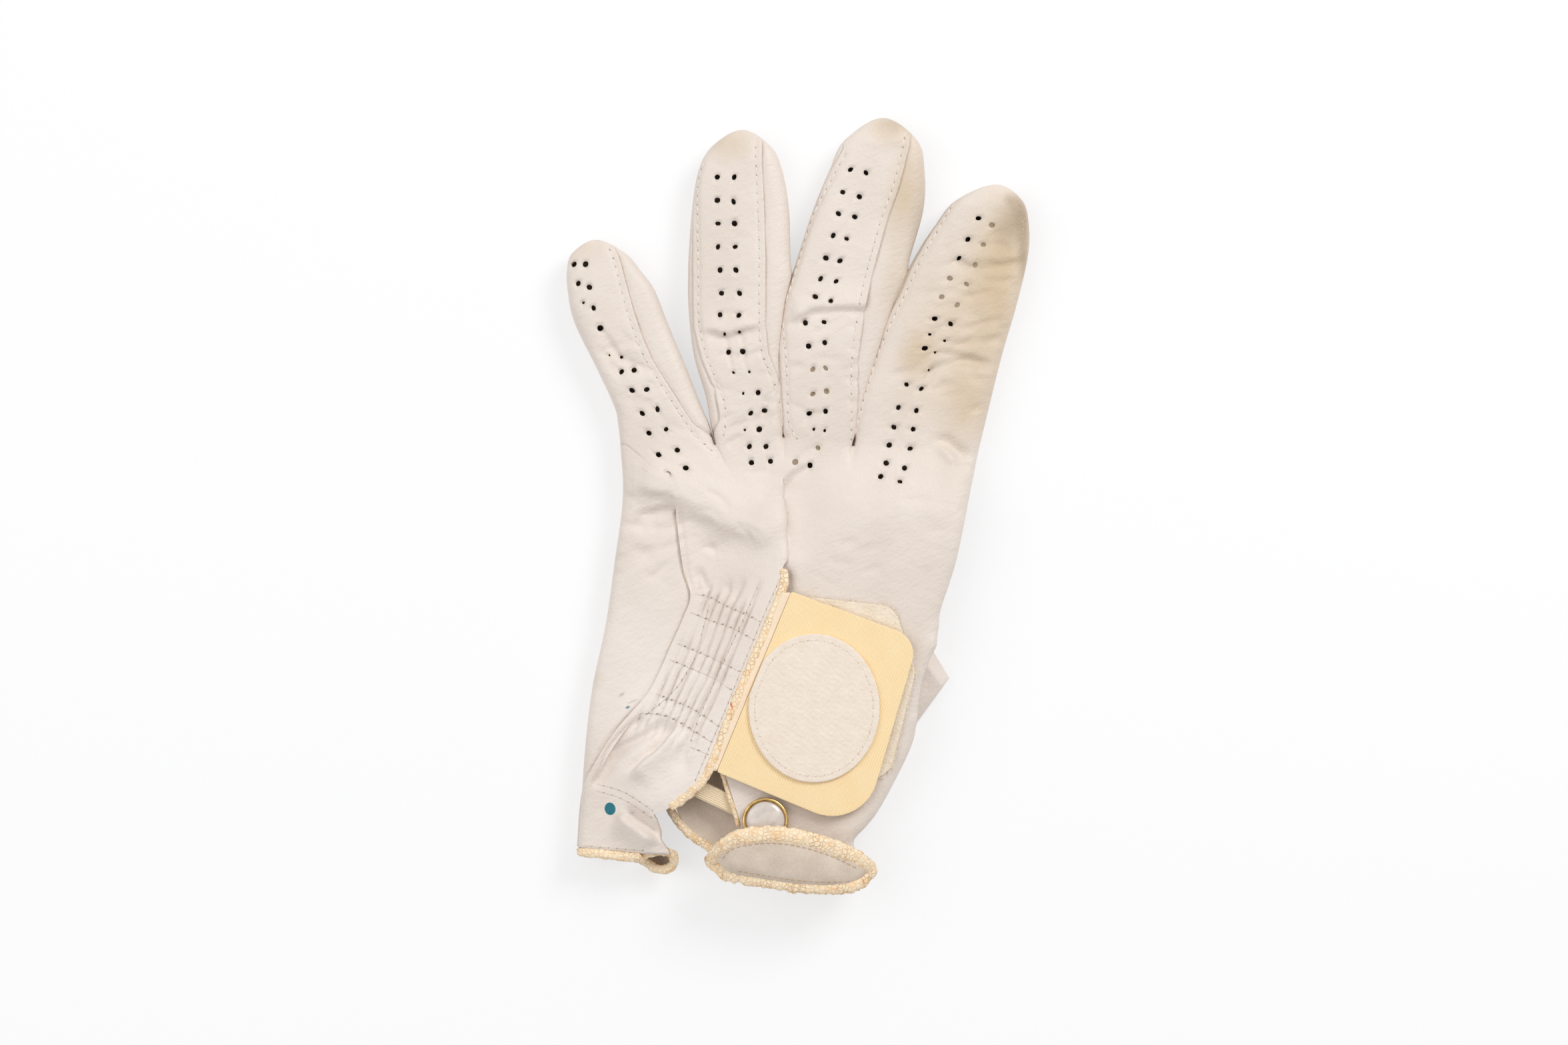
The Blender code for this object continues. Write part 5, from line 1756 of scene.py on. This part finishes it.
@dataclass
class Closure:
    """The closing tab with its hooks and felt patch, and the loop pile that it closes on."""

    finishes: Finishes
    tab: Points = ((-1.9, -25.2, 0.5), (34.0, -38.5, 7.0), (18.0, -93.2, 13.0), (-22.9, -76.1, 0.5))
    loops: Points = ((0.8, -26.6, 1.0), (27.2, -29.4, 6.0), (33.2, -48.0, 5.0), (25.4, -79.0, 7.0),
                     (-17.5, -73.5, 1.5), (-1.5, -33.0, 3.0))
    hooks: Points = ((2.0, -29.6, 1.5), (30.5, -40.5, 5.0), (19.0, -82.0, 7.0), (-17.0, -72.8, 1.5))
    felt_centre: tuple = (4.5, -58.1)
    felt_size: tuple = (37.0, 42.0)
    pile_pad: Pad = Pad(16.75, 17.5, 200, 40, 0.3, 0.06, 1.6, 21)
    hook_pad: Pad = Pad(17.75, 18.35, 120, 12, 0.15)
    tab_pad: Pad = Pad(18.6, 19.4, 240, 50, 0.12, 0.05, 11, 22)
    felt_pad: Pad = Pad(19.35, 20.5, 220, 60, 0.4, 0.05, 1.1, 23)
    hinge: tuple = (-12.65, -50.7)
    across: tuple = (0.9243, -0.3818)
    clearance: float = 0.35
    loop_pitch: float = 0.22
    loop_radius: float = 0.13
    loop_heights: tuple = (17.0, 17.5)
    root_top: float = 18.6
    root_thickness: float = 0.6
    loop_cut: Cut = Cut(48, 56, 2100, Hold.LAID, ("back_panel",))
    hook_cut: Cut = Cut(36, 48, 1500, Hold.LAID, ("loop_patch",))
    tab_cut: Cut = Cut(44, 60, 2150, Hold.LAID, ("hook_field",))
    felt_cut: Cut = Cut(37, 42, 1220, Hold.LAID, ("closing_tab",))

    def oval(self, inset: float, count: int) -> Array:
        """Outline of the felt patch at an inset from its edge, kept clear of the line that the tab turns on."""
        turn = np.linspace(0, 2 * math.pi, count)
        size = np.array(self.felt_size) / 2 - inset
        points = np.array(self.felt_centre) + np.column_stack([np.cos(turn), np.sin(turn)]) * size
        short = np.maximum(self.clearance + inset - (points - self.hinge) @ self.across, 0)
        return points + np.outer(short, self.across)

    def layer(self, name: str, slot: str, surface: Material, node: str, outline: Array, pad: Pad,
              cut: Cut) -> Object:
        """Makes one flat piece of the tab."""
        piece = Piece(name, "tab", slot, [surface], (node,))
        pad.add(piece.bm, outline)
        return cut.declare(piece.finish(weld=0.005))

    def build(self) -> Object:
        """Makes the loop pile, the tab and its hooks and felt patch, and gives the felt patch."""
        f = self.finishes
        self.pile()
        self.layer("hook_tape_field", "hooks", f.hooks, "hook_field", rounded_outline(self.hooks),
                   self.hook_pad, self.hook_cut)
        self.layer("tab_tape", "tab_tape", f.tab, "closing_tab", rounded_outline(self.tab), self.tab_pad,
                   self.tab_cut)
        felt = self.layer("felt_disc", "felt", f.felt, "felt_patch", self.oval(0, 161)[:-1], self.felt_pad,
                          self.felt_cut)
        self.root()
        return felt

    def pile(self) -> None:
        """Makes the loop pile, with loose loops all along its edge."""
        outline = rounded_outline(self.loops)
        piece = Piece("loop_pile_patch", "glove", "loop_pile", [self.finishes.pile], ("loop_patch",))
        self.pile_pad.add(piece.bm, outline)
        draw = np.random.default_rng(61)
        middle, loops = outline.mean(0), []
        for point in even(np.vstack([outline, outline[:1]]), self.loop_pitch):
            flat = point + (middle - point) * draw.uniform(-0.02, 0.07)
            angle, rise = draw.uniform(0, 2 * math.pi), draw.uniform(-0.25, 0.25)
            half = Vector((math.cos(angle), math.sin(angle), rise)) * draw.uniform(0.35, 0.8)
            up = (Vector((0, 0, 1)) - half * half.z / half.length_squared).normalized()
            loops.append((Vector((*flat, draw.uniform(*self.loop_heights))), half, up))
        add_capsules(piece.bm, loops, self.loop_radius)
        self.loop_cut.declare(piece.finish(weld=0.0001))

    def root(self) -> None:
        """Makes the tape's sewn root, which stays on the glove when the tab is peeled."""
        top, low = self.tab[0], self.tab[3]
        y = np.linspace(top[1] - 0.3, low[1] + 0.3, 60)
        edge = along(((top[1], top[0]), (low[1], low[0])), y) - 0.08
        start = along(HAND.slit_left, y) - 1.2
        level = np.full_like(y, self.root_top)
        rows = [np.column_stack([start + t * (edge - start), y, level]) for t in np.linspace(0, 1, 6)]
        piece = Piece("tab_root", "glove", "tab_tape", [self.finishes.root])
        add_grid(piece.bm, np.array(rows)[::-1])
        piece.finish(self.root_thickness)


@dataclass
class Marker:
    """The ball marker and the stud that it snaps onto."""

    finishes: Finishes
    centre: tuple = (-9.2, -89.9)
    steps: int = 72

    def turned(self, name: str, body: str, slot: str, surface: Material, node: str, profile: Points) -> None:
        """Makes a turned piece from a profile of (radius, height), from its top to its underside."""
        piece = Piece(name, body, slot, [surface], (node,))
        bm = piece.bm
        start = Vector((*self.centre, 0)) * MM
        verts = [bm.verts.new(start + Vector((r, 0, z)) * MM) for r, z in profile]
        edges = [bm.edges.new(pair) for pair in zip(verts, verts[1:])]
        if profile[0][0] > 0:
            edges.append(bm.edges.new((verts[-1], verts[0])))
        bmesh.ops.spin(bm, geom=verts + edges, cent=start, axis=(0, 0, 1), angle=2 * math.pi,
                       steps=self.steps, use_merge=True)
        bmesh.ops.remove_doubles(bm, verts=bm.verts, dist=0.005 * MM)
        bmesh.ops.recalc_face_normals(bm, faces=bm.faces)
        piece.finish(weld=0.005, crease=True)

    def build(self) -> None:
        """Makes the marker's rim, cap and socket, and the stud and washer below."""
        f = self.finishes
        turn = np.linspace(0, math.pi, 9)
        rim = [(6.05 + 0.5 * math.cos(a), 18.42 + 0.52 * math.sin(a)) for a in turn]
        rim = [(5.5, 18.7), (5.62, 18.86)] + rim[::-1][1:] + [(6.3, 17.9), (5.6, 17.9)]
        dome = [(5.35 * math.sin(a), 18.75 + 1.3 * math.cos(a)) for a in np.linspace(0, math.pi / 2, 14)]
        dome[0] = (0, dome[0][1])
        cap = dome + [(5.35, 18.2), (0, 18.2)]
        socket = ((2.2, 17.9), (4.6, 17.9), (4.9, 17.6), (4.9, 17.35), (2.2, 17.35))
        stud = ((0, 17.75), (1.5, 17.75), (1.8, 17.5), (1.6, 17.1), (3.6, 17.0), (3.6, 16.7), (1.6, 16.6),
                (1.6, 14.6), (0, 14.6))
        washer = ((2.0, 15.2), (3.8, 15.2), (3.8, 14.7), (2.0, 14.7))
        self.turned("marker_rim", "marker", "brass", f.brass, "marker_ring", rim)
        self.turned("marker_cap", "marker", "pearl", f.pearl, "marker_pearl", cap)
        self.turned("marker_spring", "marker", "spring_steel", f.steel, "marker_socket", socket)
        self.turned("stud", "glove", "spring_steel", f.steel, "snap_stud", stud)
        self.turned("stud_washer", "glove", "spring_steel", f.steel, "snap_washer", washer)


GATHER_ROWS = (
    ((-29.5, -26.2), (-25.5, -26.7), (-20.2, -29.4), (-14.7, -31.7), (-10.8, -33.7)),
    ((-30.8, -31.1), (-24.6, -33.6), (-19.1, -35.4), (-12.5, -38.8)),
    ((-34.4, -40.0), (-29.5, -41.9), (-23.4, -44.5), (-16.8, -47.7)),
    ((-36.7, -44.5), (-29.9, -47.2), (-23.8, -49.8), (-19.1, -52.8)),
    ((-40.6, -54.2), (-35.2, -56.2), (-28.9, -58.9), (-22.5, -63.2)),
    ((-45.0, -59.8), (-38.6, -60.2), (-33.3, -62.3), (-24.6, -67.6)),
    ((-30.8, -68.9), (-25.5, -71.2)),
)
LIP_ROWS = (
    ((-20.8, -100.2), (-19.0, -97.7), (-15.3, -96.3), (-7.8, -95.5), (0.3, -96.5), (8.9, -99.2),
     (16.2, -102.8)),
    ((-17.0, -103.2), (-9.8, -104.4), (-0.8, -105.8), (7.4, -106.4), (14.4, -106.2)),
)
TIP_SEAM = ((61.6, 86.2), (63.2, 83.4), (64.0, 79.5), (63.9, 75.5), (63.3, 72.2))
GATHER_LINES = (
    ((-25.1, -28.5), (-26.5, -34.5), (-28.9, -43.2), (-33.3, -51.1), (-37.6, -55.9), (-42.9, -60.0)),
    ((-10.4, -22.2), (-12.1, -25.4), (-14.7, -31.5), (-17.8, -38.1), (-21.2, -45.5), (-24.6, -53.2),
     (-28.2, -61.5), (-30.2, -67.2)),
    ((-5.1, -21.6), (-7.8, -27.7), (-11.7, -36.8), (-15.5, -46.2), (-20.2, -57.9), (-24.6, -68.3),
     (-28.9, -78.4)),
)
CUFF_ROWS = (
    ((-57.3, -79.9), (-49.1, -82.3), (-41.0, -87.2)),
    ((-57.6, -81.8), (-49.6, -84.2), (-41.6, -89.1)),
    ((-61.0, -97.5), (-52.0, -98.2), (-44.0, -98.6)),
)


@dataclass
class Stitching:
    """Rows of thread that hold the glove together."""

    finishes: Finishes
    lip: Stitch = Stitch(1.7, 0.95, 1, 0.72, 0.3)
    tip: Stitch = Stitch(2.0, 0.9, 1, 0.1, 0.26)
    finger: Stitch = Stitch(2.6, 0.8, 1, 0.1, 0.36)
    gather: Stitch = Stitch(2.4, 0.8, 4, 0.06, 0.22)
    felt: Stitch = Stitch(2.3, 0.75, 1, 0.16, 0.34)
    pit_radius: float = 0.24
    pit_length: float = 0.5
    pit_ahead: float = 0.28
    pit_slant: float = 0.6
    pit_depth: float = 0.12

    def sew(self, piece: Piece, surface: Object, stitch: Stitch, lines: Iterable[Points]) -> None:
        """Makes the stitches of one piece of thread.

        Args:
            piece: The thread, with its material and the painted shade of its needle holes.
            surface: What the stitches lie on.
            stitch: Kind of stitch.
            lines: Courses of the rows.
        """
        tree = tree_of(surface)
        for line in lines:
            places = stitch.places(tree, line)
            add_capsules(piece.bm, places, stitch.radius)
            # Dark capsules at the stitch ends are painted shade of the needle holes.
            shaded_pits = [self.shaded_pit(*place, stitch.sink) for place in places[stitch.parts - 1::stitch.parts]]
            add_capsules(piece.bm, shaded_pits, self.pit_radius, 1)
        piece.finish(weld=0.0001)

    def shaded_pit(self, middle: Vector, half: Vector, up: Vector, sink: float) -> tuple:
        """Place of the dark capsule that paints the shade of the slanting needle hole at the end of a stitch.
        """
        ahead = half.normalized()
        slant = (ahead + up.cross(ahead) * self.pit_slant).normalized() * self.pit_length
        return middle + half + ahead * self.pit_ahead + up * (sink - self.pit_depth), slant, up

    def build(self, back: Object, felt: Object, oval: Array) -> None:
        """Sews the lip, the finger seams, the gathers, the cuff and the felt patch."""
        f = self.finishes
        seams = [seam for finger in FINGERS for seam in finger.seams if seam]
        # Gathers and cuff rows take the darker thread, painted shade of thread sunk in the leather.
        shaded_rows = GATHER_ROWS + GATHER_LINES + CUFF_ROWS
        for name, thread, stitch, lines in (("lip_thread", f.raw_edge, self.lip, LIP_ROWS),
                                            ("tip_thread", f.raw_edge, self.tip, (TIP_SEAM,)),
                                            ("finger_thread", f.thread, self.finger, seams),
                                            ("gather_thread", f.shaded_thread, self.gather, shaded_rows)):
            self.sew(Piece(name, "glove", "leather", [thread, f.shaded_pit]), back, stitch, lines)
        self.sew(Piece("felt_thread", "tab", "felt", [f.thread, f.felt_shaded_pit]), felt, self.felt, (oval,))


# Setting


@dataclass
class Studio:
    """Plain pale floor, soft light and the camera at the photograph's angle."""

    centre: tuple = (-3.97, -5.77)
    field_width: float = 444.6
    lens: float = 100.0
    sensor: float = 36.0
    glow: float = 0.62
    sky_strength: float = 0.52
    middle_height: float = 0.012

    def floor(self) -> None:
        """White floor that keeps a faint shadow of the glove."""
        bm = bmesh.new()
        bmesh.ops.create_grid(bm, x_segments=1, y_segments=1, size=4)
        mesh = bpy.data.meshes.new("floor")
        bm.to_mesh(mesh)
        bm.free()
        s = Shader("pale_floor")
        rays = s.node("ShaderNodeLightPath", {}, {})
        seen = Value(s, rays.outputs["Is Camera Ray"]) + Value(s, rays.outputs["Is Glossy Ray"])
        seen = seen + Value(s, rays.outputs["Is Transmission Ray"])
        paint = s.done(base_color=(0.95, 0.95, 0.96, 1), roughness=0.9)
        s.surface.inputs["Specular IOR Level"].default_value = 0.0
        light = s.node("ShaderNodeEmission", {}, {"Strength": 1.0})
        mixed = s.node("ShaderNodeMixShader", {}, {0: seen.over(0, 1) * self.glow, 1: s.surface.outputs[0],
                                                   2: light.outputs[0]})
        s.feed(s.tree.nodes["Material Output"].inputs["Surface"], mixed.outputs[0])
        mesh.materials.append(paint)
        made = bpy.data.objects.new("floor", mesh)
        bpy.context.scene.collection.objects.link(made)

    def sky(self) -> None:
        """Even pale surroundings."""
        world = bpy.data.worlds.new("studio")
        world.use_nodes = True
        sky = world.node_tree.nodes["Background"].inputs
        sky["Color"].default_value = (1, 1, 1, 1)
        sky["Strength"].default_value = self.sky_strength
        bpy.context.scene.world = world

    def lamp(self, name: str, place: Points, size: float, power: float) -> None:
        """Square soft light that faces the glove."""
        light = bpy.data.lights.new(name, "AREA")
        light.size = size
        light.energy = power
        made = bpy.data.objects.new(name, light)
        made.location = place
        made.rotation_euler = (-Vector(place)).to_track_quat("-Z", "Y").to_euler()
        bpy.context.scene.collection.objects.link(made)

    def camera(self) -> None:
        """Camera straight above the glove."""
        lens = bpy.data.cameras.new("camera")
        lens.lens = self.lens
        lens.sensor_width = self.sensor
        made = bpy.data.objects.new("camera", lens)
        distance = self.field_width * MM * self.lens / self.sensor
        made.location = (self.centre[0] * MM, self.centre[1] * MM, distance + self.middle_height)
        bpy.context.scene.collection.objects.link(made)
        bpy.context.scene.camera = made

    def build(self) -> None:
        """Sets everything round the glove."""
        bpy.context.scene.view_settings.view_transform = "Standard"
        self.camera()
        self.floor()
        self.sky()
        self.lamp("key", place=(0.6, 0.6, 0.8), size=0.5, power=6.3)
        self.lamp("fill", place=(-0.7, 0.1, 0.9), size=1.0, power=4.3)


def main() -> None:
    """Builds the glove's pieces in order."""
    logging.basicConfig(level=logging.INFO, format="%(name)s: %(message)s")
    Studio().build()
    finishes = Finishes()
    back = BackPanel(finishes).build()
    PalmPanel(finishes).build()
    Fourchettes(finishes).build()
    Thumb(finishes).build()
    Bindings(finishes, tree_of(back)).build()
    Elastics(finishes).build()
    closure = Closure(finishes)
    felt = closure.build()
    Marker(finishes).build()
    Stitching(finishes).build(back, felt, closure.oval(1.8, 120))
    bpy.context.view_layer.update()


if __name__ == "__main__":
    main()
